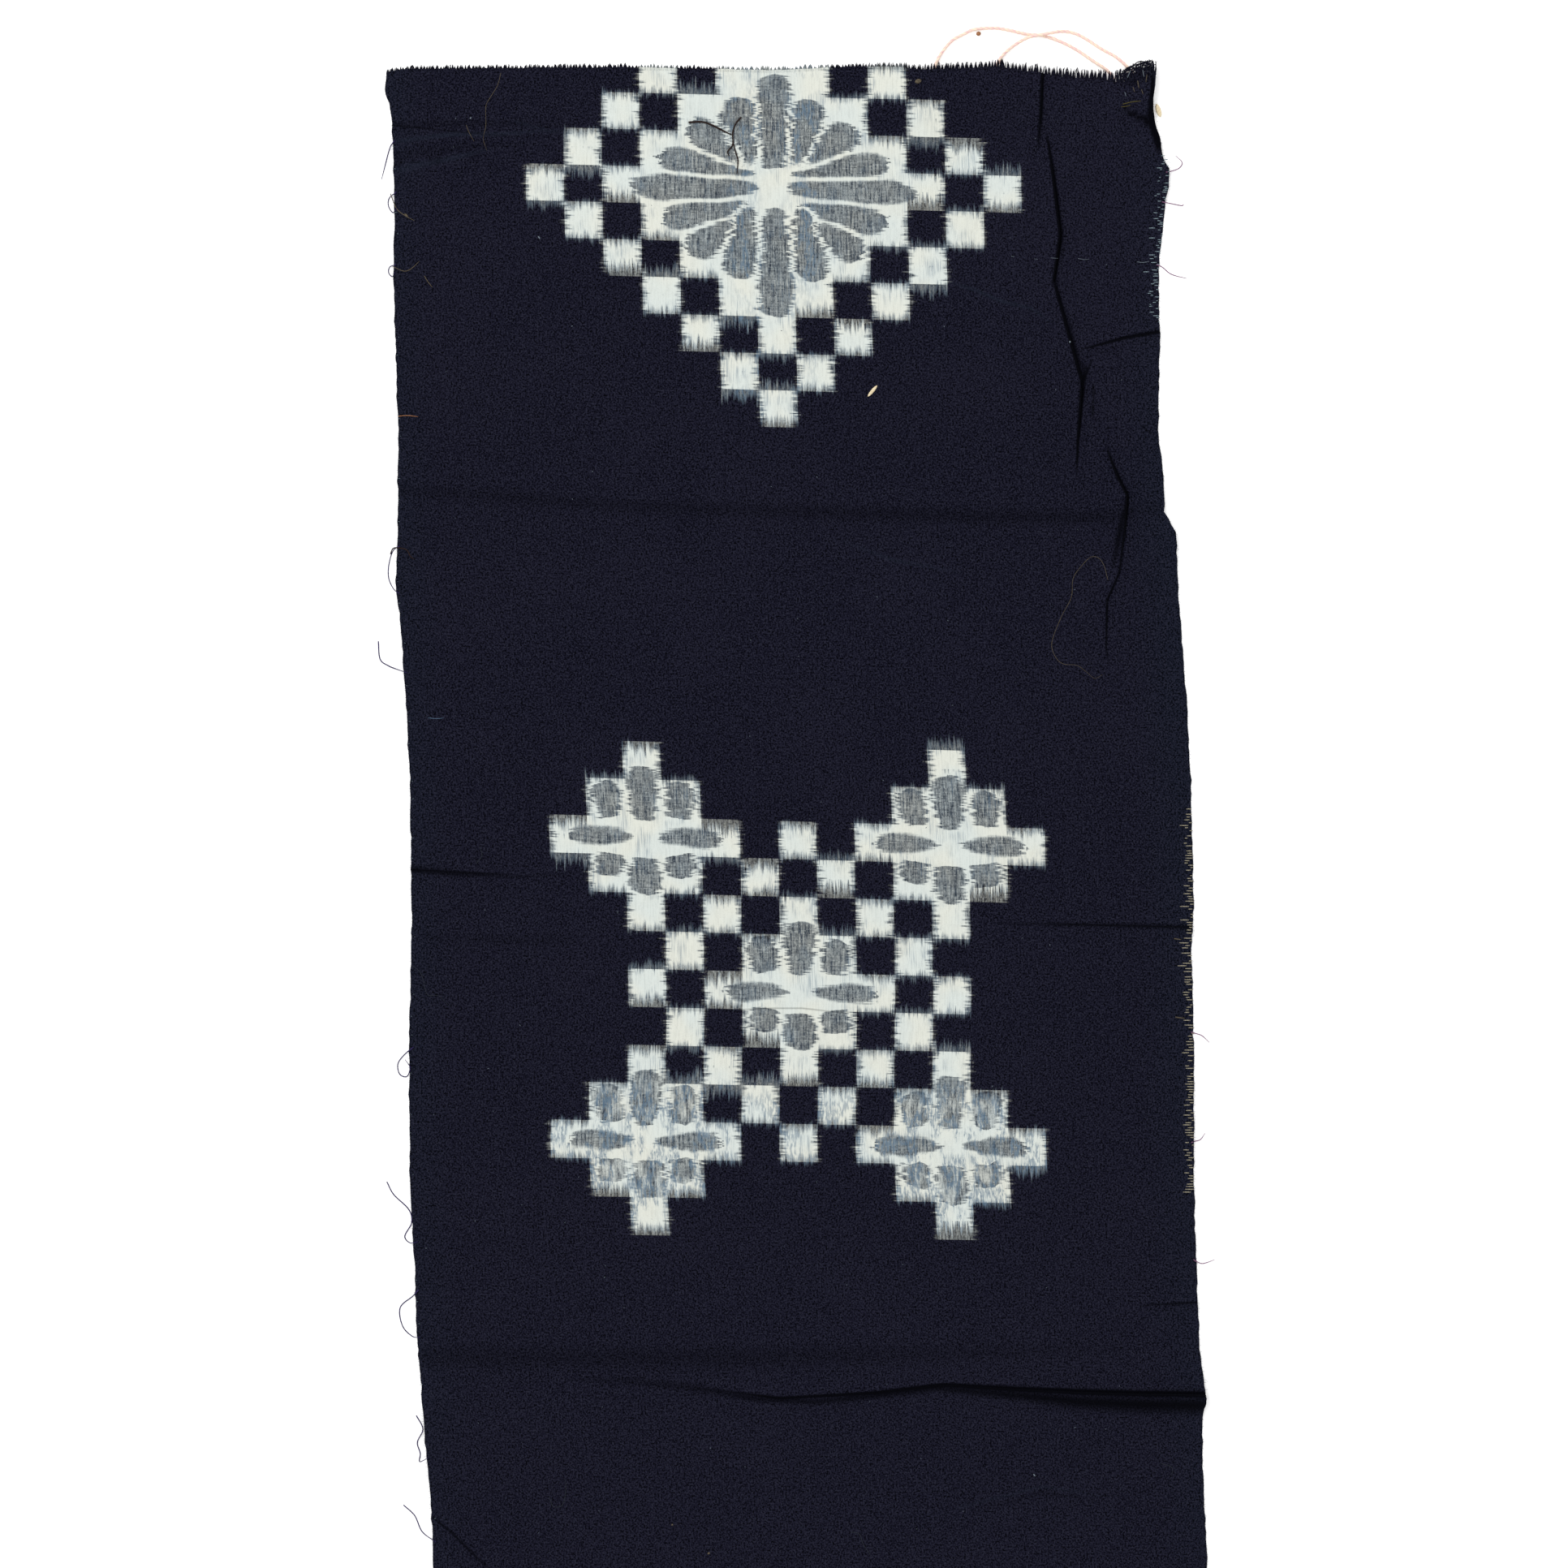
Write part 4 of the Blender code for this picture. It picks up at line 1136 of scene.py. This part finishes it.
class KasuriClothSettings(bpy.types.PropertyGroup):
    """Sizes and dyes of the cloth."""

    thickness: length_setting("Thickness", "Thickness of the woven cotton", 0.00045, 0.0001)
    grid: length_setting("Mesh spacing", "Distance between the sheet's mesh lines away from folds",
        0.0030, 0.001)
    cell_width: length_setting("Cell width", "Width of one cell of the chequer, across the warp",
        0.01681, 0.004)
    medallion_cell: length_setting("Medallion cell",
        "Height of a cell in the medallion, along the warp", 0.01622, 0.004)
    cross_cell: length_setting("Cross cell",
        "Height of a cell in the cross of flowers, along the warp", 0.01668, 0.004)
    yarns_in_cell: bpy.props.IntProperty(
        name="Warp yarns", description="Warp yarns in one cell's width", default=38, min=4)
    picks_in_cell: bpy.props.IntProperty(
        name="Weft yarns", description="Weft yarns in one cell's height", default=30, min=4)
    column_slip: share_setting("Bundle slip", "How far a tied bundle of warp slips, in cells",
        0.34, 0.0, 0.45)
    row_slip: share_setting("Weft slip", "How far a row of weft slips, in cells", 0.035, 0.0, 0.3)
    yarn_slip: share_setting("Yarn slip", "How far one yarn strays on its own, in cells",
        0.070, 0.0, 0.3)
    warp_creep: share_setting("Warp creep", "How far the dye crept under the warp's ties, in cells",
        0.21, 0.01, 0.4)
    weft_creep: share_setting("Weft creep", "How far the dye crept under the weft's ties, in cells",
        0.14, 0.01, 0.4)
    indigo: colour_setting("Indigo", "Colour of the dyed ground", (0.0064, 0.0064, 0.0148))
    indigo_deep: colour_setting("Deep indigo", "Colour of the darkest yarns of the ground",
        (0.0054, 0.0053, 0.0128))
    indigo_pale: colour_setting("Pale indigo", "Colour of the worn and lighter parts of the ground",
        (0.0082, 0.0079, 0.0172))
    selvedge_teal: colour_setting("Selvedge",
        "Colour towards the selvedges, where the indigo turns teal", (0.0066, 0.0088, 0.0174))
    # Near-black: the darkest random patches of the ground, and the painted shade in creases and
    # along folds
    unfaded_and_crease_shade: colour_setting("Unfaded indigo", "Colour of the dye kept dark inside creases",
        (0.0006, 0.0006, 0.0016))
    worn: colour_setting("Worn indigo", "Colour of the crossings that have worn paler",
        (0.0160, 0.0165, 0.0290))
    # Painted light along the fold ridges
    painted_ridge_light: colour_setting("Painted ridge light", "Colour of the dye on ridges that rubbed paler",
        (0.0120, 0.0165, 0.0280))
    # Strength of the painted shade in the creases
    crease_depth: share_setting("Crease shade", "How dark the creases are", 0.95, 0.0, 1.0)
    white_warm: colour_setting("Warm white", "Colour of the undyed cotton where it has yellowed",
        (0.630, 0.645, 0.580))
    white_cool: colour_setting("Cool white", "Colour of the undyed cotton", (0.590, 0.635, 0.605))
    stain: colour_setting("Creeping dye", "Colour of the dye that crept under the ties",
        (0.10, 0.16, 0.225))
    stain_strength: share_setting("Creep", "How far the creeping dye colours the tied yarns",
        0.6, 0.0, 1.0)
    gloss: share_setting("Gloss", "Specular level of the cotton", 0.02, 0.0, 1.0)
    fuzz: share_setting("Fuzz", "Sheen of the cotton's fine hairs", 0.01, 0.0, 1.0)
    bump_strength: bpy.props.FloatProperty(
        name="Weave relief", description="Strength of the yarns' relief", default=0.5, min=0.0)
    bump_depth: length_setting("Weave depth", "Depth of the yarns' relief", 0.00010, 0.0)
    ravel: length_setting("Ravelled end", "How uneven the free yarns at a raw end are", 0.0008, 0.0)
    seed: bpy.props.IntProperty(
        name="Seed", description="Start of the random draws", default=7, min=0)


class KasuriThreadSettings(bpy.types.PropertyGroup):
    """The tacking threads and loose yarns."""

    diameter: length_setting("Thread thickness", "Thickness of the cream tacking thread",
        THREAD_DIAMETER * MM, 0.0003)
    twist: bpy.props.FloatProperty(
        name="Twist", description="Turns of the thread's plies in a millimetre",
        default=0.42, min=0.0)
    cream: colour_setting("Cream", "Colour of the tacking thread", (0.86, 0.72, 0.55))
    # Pink like the thread's second ply, and painted as shade between the plies
    cream_shade: colour_setting("Cream shade", "Colour between the tacking thread's plies",
        (0.76, 0.47, 0.49))


class KasuriStageSettings(bpy.types.PropertyGroup):
    """The camera, floor and light."""

    view_width: bpy.props.FloatProperty(
        name="View width", description="Width of the view at the cloth",
        default=0.6917, min=0.05, unit="LENGTH")
    distance: bpy.props.FloatProperty(
        name="Camera height", description="Height of the camera over the cloth",
        default=3.0, min=0.5, unit="LENGTH")
    glow: bpy.props.FloatProperty(
        name="Floor glow", description="Light that the pale floor gives by itself",
        default=0.22, min=0.0)
    floor_size: bpy.props.FloatProperty(
        name="Floor size", description="Side of the pale floor", default=14.0, unit="LENGTH")
    sky: bpy.props.FloatProperty(
        name="Sky light", description="Strength of the light from all round", default=1.02, min=0.0)
    softbox: bpy.props.FloatProperty(
        name="Softbox", description="Power of the softbox", default=32.0, min=0.0, unit="POWER")


# Operators


class KASURI_OT_stage(bpy.types.Operator):
    """Adds the camera over the cloth, the pale floor and the soft light"""

    bl_idname = "kasuri.stage"
    bl_label = "Add stage"

    def execute(self, context):
        stage = context.scene.kasuri_stage
        add_camera(context.scene, stage)
        add_floor(stage)
        add_light(context.scene, stage)
        return {"FINISHED"}


class KASURI_OT_threads(bpy.types.Operator):
    """Adds the two cream tacking threads that loop out from under the top end"""

    bl_idname = "kasuri.threads"
    bl_label = "Add tacking threads"

    def execute(self, context):
        cloth, threads = context.scene.kasuri_cloth, context.scene.kasuri_threads
        spun = bpy.data.node_groups.get("Spun Yarn") or spun_group()
        material = yarn_material("cream_thread", spun, cloth, threads.cream, threads.cream_shade,
                                 threads.twist)
        for name, route in (("thread_loop_a", THREAD_A), ("thread_loop_b", THREAD_B)):
            add_thread(name, route, threads, material)
        return {"FINISHED"}


class KASURI_OT_cloth(bpy.types.Operator):
    """Adds the woven sheet in its folds, with its dyed material"""

    bl_idname = "kasuri.cloth"
    bl_label = "Add cloth"

    def execute(self, context):
        cloth = context.scene.kasuri_cloth
        dye = bpy.data.node_groups.get("Kasuri Dye") or dye_group(cloth)
        sheet = new_object("kasuri_sheet", sheet_mesh(cloth), kasuri_material(cloth, dye, True))
        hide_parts("cloth")
        return {"FINISHED"}


class KASURI_OT_ends(bpy.types.Operator):
    """Adds the ravelled yarns of the two raw ends and the loosened corner"""

    bl_idname = "kasuri.ends"
    bl_label = "Add ravelled ends"

    def execute(self, context):
        cloth = context.scene.kasuri_cloth
        dye = bpy.data.node_groups.get("Kasuri Dye") or dye_group(cloth)
        material = kasuri_material(cloth, dye, False)
        new_object("ravelled_ends", ravelled_ends(cloth), material)
        return {"FINISHED"}


class KASURI_OT_selvedge(bpy.types.Operator):
    """Adds the loose yarns, weft turns and pale floats of the selvedges"""

    bl_idname = "kasuri.selvedge"
    bl_label = "Add selvedge yarns"

    def execute(self, context):
        cloth = context.scene.kasuri_cloth
        spun = bpy.data.node_groups.get("Spun Yarn") or spun_group()
        indigo, pale, tan, pink = [yarn_material(name, spun, cloth, colour, shade, 0.9)
                                   for name, (colour, shade) in YARN_COLOURS.items()]
        new_object("left_loose_yarns", loose_yarns(cloth, "left"), indigo)
        new_object("right_loose_yarns", loose_yarns(cloth, "right"), pink)
        new_object("pale_floats", weft_floats(cloth, PALE_FLOATS), pale)
        new_object("tan_floats", weft_floats(cloth, TAN_FLOATS), tan)
        new_object("selvedge_fuzz", selvedge_fuzz(cloth), indigo)
        return {"FINISHED"}


class KASURI_OT_lint(bpy.types.Operator):
    """Adds the bits of yarn and lint that lie on the cloth"""

    bl_idname = "kasuri.lint"
    bl_label = "Add lint"

    def execute(self, context):
        cloth = context.scene.kasuri_cloth
        spun = bpy.data.node_groups.get("Spun Yarn") or spun_group()
        for name, (colour, shade) in LINT_COLOURS.items():
            material = yarn_material("lint_" + name, spun, cloth, colour, shade, 0.8)
            new_object("lint_" + name, lint_mesh(cloth, name), material)
        return {"FINISHED"}


# Making


def add_camera(scene, stage):
    """A long lens straight over the middle of the view."""
    camera = bpy.data.cameras.new("camera")
    camera.sensor_width = 36.0
    camera.lens = camera.sensor_width * stage.distance / stage.view_width
    camera.clip_end = 100.0
    holder = bpy.data.objects.new("camera", camera)
    scene.collection.objects.link(holder)
    holder.location = to_world(0.0, 0.0, stage.distance / MM)
    scene.camera = holder


def add_floor(stage):
    """A plain pale surface under the cloth."""
    half = stage.floor_size / 2.0
    mesh = bpy.data.meshes.new("floor")
    corners = [(-half, -half, 0.0), (half, -half, 0.0), (half, half, 0.0), (-half, half, 0.0)]
    mesh.from_pydata(corners, [], [(0, 1, 2, 3)])
    material, _, shader = new_material("pale_floor")
    set_inputs(shader, Base_Color=(0.94, 0.94, 0.94, 1.0), Roughness=1.0, Specular_IOR_Level=0.0,
               Emission_Color=(1.0, 1.0, 1.0, 1.0), Emission_Strength=stage.glow)
    mesh.materials.append(material)
    floor = bpy.data.objects.new("floor", mesh)
    bpy.context.collection.objects.link(floor)


SOFTBOX_PLACE = (-1.3, 1.7, 2.2)
SOFTBOX_WIDTH = 1.4


def add_light(scene, stage):
    """Even white light from all round, and a large softbox from the upper left."""
    scene.view_settings.view_transform = "Standard"
    world = bpy.data.worlds.new("studio")
    world.use_nodes = True
    set_inputs(world.node_tree.nodes["Background"], Color=(1.0, 1.0, 1.0, 1.0), Strength=stage.sky)
    scene.world = world
    lamp = bpy.data.lights.new("softbox", "AREA")
    lamp.shape = "DISK"
    lamp.size = SOFTBOX_WIDTH
    lamp.energy = stage.softbox
    holder = bpy.data.objects.new("softbox", lamp)
    scene.collection.objects.link(holder)
    holder.location = SOFTBOX_PLACE
    holder.rotation_euler = (-holder.location).to_track_quat("-Z", "Y").to_euler()
    holder.visible_camera = False


def add_thread(name, route, threads, material):
    """A two-ply thread along its route: a tube whose surface swells over its two plies."""
    path = smooth_path([to_world(*point) for point in route], 16)
    half = threads.diameter / 2.0
    run = [0.0]
    for a, b in zip(path, path[1:]):
        run.append(run[-1] + (b - a).length / MM)

    def radius(index, angle):
        turn = 2.0 * (angle + math.pi * threads.twist * run[index])
        return half * (0.92 + 0.08 * math.cos(turn))

    builder = TubeBuilder()
    builder.add(tube_points(path, radius, THREAD_SIDES), tube_maps(path, THREAD_SIDES))
    piece = new_object(name + "_twisted", builder.mesh(name + "_twisted"), material)
    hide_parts(name)


def tube_maps(path, sides):
    """A tube's own map: round it, and along it in millimetres."""
    run, maps = 0.0, []
    for index, place in enumerate(path):
        if index:
            run += (place - path[index - 1]).length / MM
        maps.append([(side / sides, run) for side in range(sides)])
    return maps


def ravelled_ends(cloth):
    """The free ends of the warp yarns past the last weft yarn, in clumps, at both raw ends."""
    draw = random.Random(cloth.seed)
    builder = TubeBuilder()
    for ends, outward in ((TOP_END, 1.0), (CUT_END, -1.0)):
        x = min(end.x for end in ends) + 0.3
        stop = max(end.x for end in ends) - 0.1
        clump_middle, clump_end, clump_reach = x, x, 0.0
        while x < stop:
            if x >= clump_end:
                width = draw.uniform(0.6, 2.4)
                clump_middle, clump_end = x + width * 0.5, x + width
                clump_reach = draw.uniform(-0.8, 0.5)
            edge = float(read_table(ends, "x", "y", x))
            woven = float(woven_top(x)) if outward > 0.0 else edge
            free = abs(edge - woven) + cloth.ravel / MM * draw.uniform(-0.5, 0.7)
            free += clump_reach * min(1.0, 0.3 + abs(edge - woven) * 0.4)
            lean = (clump_middle - x) * 0.70 + draw.uniform(-0.3, 0.3)
            if draw.random() > 0.04:
                add_ravel(builder, cloth, draw, x, woven, max(0.3, free) * outward, lean)
            closer = 0.62 if outward > 0.0 and x > OPEN_START else 1.0
            x += RAVEL_SPACING * draw.uniform(0.8, 1.2) * closer
    add_open_picks(builder, cloth, draw)
    return builder.mesh("ravelled_ends")


def end_height(cloth, x, y):
    """The middle of a free yarn's height where it leaves the weave."""
    return float(rise_at(x, y) + unevenness(x, y)) + cloth.thickness / MM * 0.5


# Millimetres of a free yarn that lie inside the weave, and the reach from which it sways
TUCKED_IN = 1.4
LONG_REACH = 4.0


def add_ravel(builder, cloth, draw, x, woven, reach, lean):
    """One free warp end, from inside the cloth's edge outward."""
    inside = -TUCKED_IN if reach > 0.0 else TUCKED_IN
    count = 4 if abs(reach) < LONG_REACH else 8
    path, maps = [], []
    droop, wave = draw.uniform(0.0, 0.3), draw.uniform(0.0, 6.0)
    sway = 0.0 if count == 4 else 0.28
    for step in range(count):
        share = step / (count - 1)
        place_y = woven + inside + (reach - inside) * share
        bend = lean * share * share + sway * math.sin(share * 9.0 + wave) * share
        z = end_height(cloth, x, place_y) - droop * share * share
        path.append(to_world(x + bend, place_y, max(0.22, z)))
        maps.append([weave_spot(x, place_y)] * 3)
    thick = draw.uniform(0.46, 0.62) * MM
    radii = [thick * 0.5 * (1.0 - 0.65 * (step / (count - 1)) ** 3) for step in range(count)]
    builder.add(tube_points(path, radii, 3, math.pi / 2.0), maps)


def add_open_picks(builder, cloth, draw):
    """The last weft yarns at the opened corner, apart from each other and torn off short."""
    right = SIDES[0].right
    for pick in range(OPEN_PICKS):
        share = (pick + draw.uniform(0.2, 0.8)) / OPEN_PICKS
        start = OPEN_START + draw.uniform(0.0, 3.0) + share * 3.0
        stop = right - draw.uniform(0.0, 2.5)
        wave = draw.uniform(0.0, 6.0)
        path, maps = [], []
        for step in range(10):
            x = start + (stop - start) * step / 9.0
            y = float(woven_top(x) * (1.0 - share) + read_table(TOP_END, "x", "y", x) * share)
            y += 0.4 * math.sin(x * 0.9 + wave)
            path.append(to_world(x, y, end_height(cloth, x, y) + 0.15))
            maps.append([weave_spot(x, y)] * 3)
        radii = [0.26 * MM] * 9 + [0.10 * MM]
        builder.add(tube_points(path, radii, 3, math.pi / 2.0), maps)


def edge_height(x, y, cloth):
    """The top of the cloth at a place, or the floor beside it."""
    left = edge_at("left", y)
    right = edge_at("right", y)
    inside = left < x < right
    top = float(rise_at(x, y)) + cloth.thickness / MM + 0.12
    return top if inside else max(0.0, top - 1.2 * min(abs(x - left), abs(x - right))) * 0.5


# Each yarn's colour, then its darker colour: painted shade between the plies, and darker uneven
# stretches
YARN_COLOURS = {
    "indigo_yarn": ((0.034, 0.024, 0.095), (0.014, 0.010, 0.045)),
    "pale_weft": ((0.25, 0.33, 0.36), (0.06, 0.08, 0.11)),
    "tan_weft": ((0.36, 0.33, 0.24), (0.10, 0.09, 0.07)),
    "pink_fluff": ((0.22, 0.10, 0.18), (0.12, 0.06, 0.12)),
}


def loose_yarns(cloth, side):
    """The yarn ends that have worked loose and lie beside one selvedge."""
    draw = random.Random(cloth.seed + 1)
    builder = TubeBuilder()
    outward = -1.0 if side == "left" else 1.0
    for loose in LOOSE_YARNS:
        if loose.side != side:
            continue
        points = []
        for step in loose.steps:
            y = loose.y + step.along
            edge = float(edge_at(loose.side, y))
            x = edge + outward * step.out
            z = edge_height(x, y, cloth) + loose.thick * 0.75 + draw.uniform(0.0, 0.15)
            points.append(to_world(x, y, z))
        builder.add_yarn(smooth_path(points, 7), loose.thick, 5)
    return builder.mesh(side + "_loose_yarns")


Floats = namedtuple("Floats", "name side start stop spacing depth length thick")
PALE_FLOATS = rows(Floats, ("frayed shoulder", "right", 277.0, 203.0, 0.85, 4.4, 1.9, 0.44),
    ("left edge", "left", 300.0, -330.0, 9.0, 1.4, 0.9, 0.18))
TAN_FLOATS = rows(Floats, ("tan weft", "right", -11.0, -180.0, 1.15, 2.6, 2.9, 0.52))


def weft_floats(cloth, table):
    """Short stretches of weft yarn that stand out at a selvedge."""
    draw = random.Random(cloth.seed + 2)
    builder = TubeBuilder()
    for floats in table:
        inward = 1.0 if floats.side == "left" else -1.0
        y = floats.start
        while y > floats.stop:
            depth = floats.depth * draw.random() ** 3.0 - 0.1
            length = floats.length * draw.uniform(0.3, 1.4)
            points = []
            for share in (0.0, 0.5, 1.0):
                place_y = y + draw.uniform(-0.05, 0.05)
                edge = float(edge_at(floats.side, place_y))
                x = edge + inward * (depth + length * share)
                arch = 0.10 if share == 0.5 else -0.12
                points.append(to_world(x, place_y, top_of(x, place_y, cloth) + arch))
            builder.add_yarn(points, floats.thick, 4, 0.3)
            y -= floats.spacing * (draw.uniform(0.85, 1.15) + (draw.random() > 0.85))
    return builder.mesh(table[0].name.replace(" ", "_"))


def top_of(x, y, cloth):
    """The height of the cloth's face."""
    return float(rise_at(x, y) + unevenness(x, y)) + cloth.thickness / MM


HAIR_THICKNESS = 0.09
HAIRS_FROM, HAIRS_TO = 312.0, -376.0


def selvedge_fuzz(cloth):
    """Fine hairs along the selvedges and the raw end."""
    draw = random.Random(cloth.seed + 3)
    builder = TubeBuilder()
    for side, outward in (("left", -1.0), ("right", 1.0)):
        y = HAIRS_FROM
        while y > HAIRS_TO:
            edge = float(edge_at(side, y))
            reach, slant = draw.uniform(0.4, 1.5), draw.uniform(-1.0, 1.0)
            base = float(rise_at(edge, y)) + 0.3
            points = []
            for share in (-0.6, 0.2, 0.7, 1.0):
                x = edge + outward * reach * share
                place_y = y + slant * max(0.0, share) ** 2
                points.append(to_world(x, place_y, max(0.1, base + 0.3 * share)))
            builder.add_yarn(points, HAIR_THICKNESS, 3, 0.6)
            y -= draw.uniform(0.8, 3.6)
    return builder.mesh("selvedge_fuzz")


# Each lint's colour, then its darker colour: painted shade between the plies, and darker uneven
# stretches
LINT_COLOURS = {
    "brown": ((0.030, 0.018, 0.015), (0.012, 0.008, 0.008)),
    "grey": ((0.035, 0.040, 0.050), (0.020, 0.024, 0.032)),
    "tan": ((0.11, 0.09, 0.06), (0.04, 0.034, 0.028)),
    "orange": ((0.34, 0.16, 0.08), (0.20, 0.09, 0.04)),
    "blue": ((0.10, 0.16, 0.24), (0.05, 0.08, 0.14)),
    "yellow": ((0.085, 0.072, 0.024), (0.03, 0.026, 0.012)),
    "cream": ((0.74, 0.64, 0.44), (0.60, 0.48, 0.30)),
    "pale": ((0.16, 0.19, 0.22), (0.06, 0.08, 0.10)),
}
Fleck = namedtuple("Fleck", "finish x y length width turn")
FLECKS = rows(Fleck, ("cream", 39.0, 173.3, 6.4, 1.5, 50.0),
    ("cream", 165.1, 297.0, 6.0, 2.3, 108.0), ("orange", 85.8, 330.9, 2.2, 1.9, 20.0),
    ("tan", 59.1, 309.7, 3.0, 2.0, 20.0), ("pale", -108.0, 241.0, 1.6, 0.6, 130.0),
    ("pale", -138.2, 293.7, 1.0, 0.6, 60.0), ("pale", 126.0, 194.8, 0.9, 0.8, 60.0),
    ("pale", 110.4, -304.8, 1.4, 0.6, 130.0), ("tan", -33.2, -339.3, 1.2, 0.9, 30.0),
    ("tan", -49.3, -326.7, 0.9, 0.8, 30.0), ("tan", -166.6, 250.8, 2.0, 1.0, 140.0))
PALE_SPECKS = 90
CLOTH_TOP = 318.0


def lint_mesh(cloth, finish):
    """All the lint of one colour."""
    draw = random.Random(cloth.seed + 4)
    builder = TubeBuilder()
    for bit in BITS:
        if bit.finish == finish:
            points = [to_world(x, y, top_of(x, y, cloth) + bit.thick * 0.42) for x, y in bit.points]
            builder.add_yarn(smooth_path(points, 5), bit.thick, 6)
    for fleck in FLECKS:
        if fleck.finish == finish:
            add_fleck(builder, cloth, fleck)
    if finish == "pale":
        for _ in range(PALE_SPECKS):
            speck = Fleck("pale", draw.uniform(-158, 158), draw.uniform(-340, 305),
                          draw.uniform(0.3, 0.8), draw.uniform(0.12, 0.3), draw.uniform(0, 180))
            add_fleck(builder, cloth, speck)
    return builder.mesh("lint_" + finish)


def add_fleck(builder, cloth, fleck):
    """A small seed-shaped fleck that lies on the cloth, or on the floor beside it."""
    turn = math.radians(fleck.turn)
    left = edge_at("left", fleck.y)
    right = edge_at("right", fleck.y)
    on_cloth = left < fleck.x < right and fleck.y < CLOTH_TOP
    z = top_of(fleck.x, fleck.y, cloth) if on_cloth else 0.4
    path, radii = [], []
    for share in (-1.0, -0.7, -0.25, 0.25, 0.7, 1.0):
        along = share * fleck.length / 2.0
        swell = math.sqrt(max(0.02, 1.0 - share * share))
        radii.append(fleck.width / 2.0 * swell * MM)
        x = fleck.x + along * math.cos(turn)
        y = fleck.y + along * math.sin(turn)
        path.append(to_world(x, y, z + fleck.width * 0.3))
    rings = tube_points(path, radii, 6)
    flat = to_world(0.0, 0.0, z + fleck.width * 0.3)[2]
    for ring in rings:
        for point in ring:
            point.z = flat + (point.z - flat) * 0.5
    builder.add(rings, tube_maps(path, 6))


class KASURI_PT_panel(bpy.types.Panel):
    """Lists the steps of making the cloth"""

    bl_idname = "KASURI_PT_panel"
    bl_label = "Kasuri cloth"
    bl_space_type = "VIEW_3D"
    bl_region_type = "UI"
    bl_category = "Kasuri"

    def draw(self, context):
        for operator in OPERATORS:
            self.layout.operator(operator.bl_idname)
        for name, group in SETTINGS.items():
            box = self.layout.box()
            for prop in group.__annotations__:
                box.prop(getattr(context.scene, name), prop)


OPERATORS = (
    KASURI_OT_stage,
    KASURI_OT_threads,
    KASURI_OT_cloth,
    KASURI_OT_ends,
    KASURI_OT_selvedge,
    KASURI_OT_lint,
)
SETTINGS = {
    "kasuri_cloth": KasuriClothSettings,
    "kasuri_threads": KasuriThreadSettings,
    "kasuri_stage": KasuriStageSettings,
}


def register():
    for group in SETTINGS.values():
        bpy.utils.register_class(group)
    for name, group in SETTINGS.items():
        setattr(bpy.types.Scene, name, bpy.props.PointerProperty(type=group))
    for operator in OPERATORS:
        bpy.utils.register_class(operator)
    bpy.utils.register_class(KASURI_PT_panel)


def unregister():
    bpy.utils.unregister_class(KASURI_PT_panel)
    for operator in reversed(OPERATORS):
        bpy.utils.unregister_class(operator)
    for name in SETTINGS:
        delattr(bpy.types.Scene, name)
    for group in reversed(list(SETTINGS.values())):
        bpy.utils.unregister_class(group)


def main():
    register()
    bpy.ops.kasuri.stage()
    bpy.ops.kasuri.threads()
    bpy.ops.kasuri.cloth()
    bpy.ops.kasuri.ends()
    bpy.ops.kasuri.selvedge()
    bpy.ops.kasuri.lint()


if __name__ == "__main__":
    main()
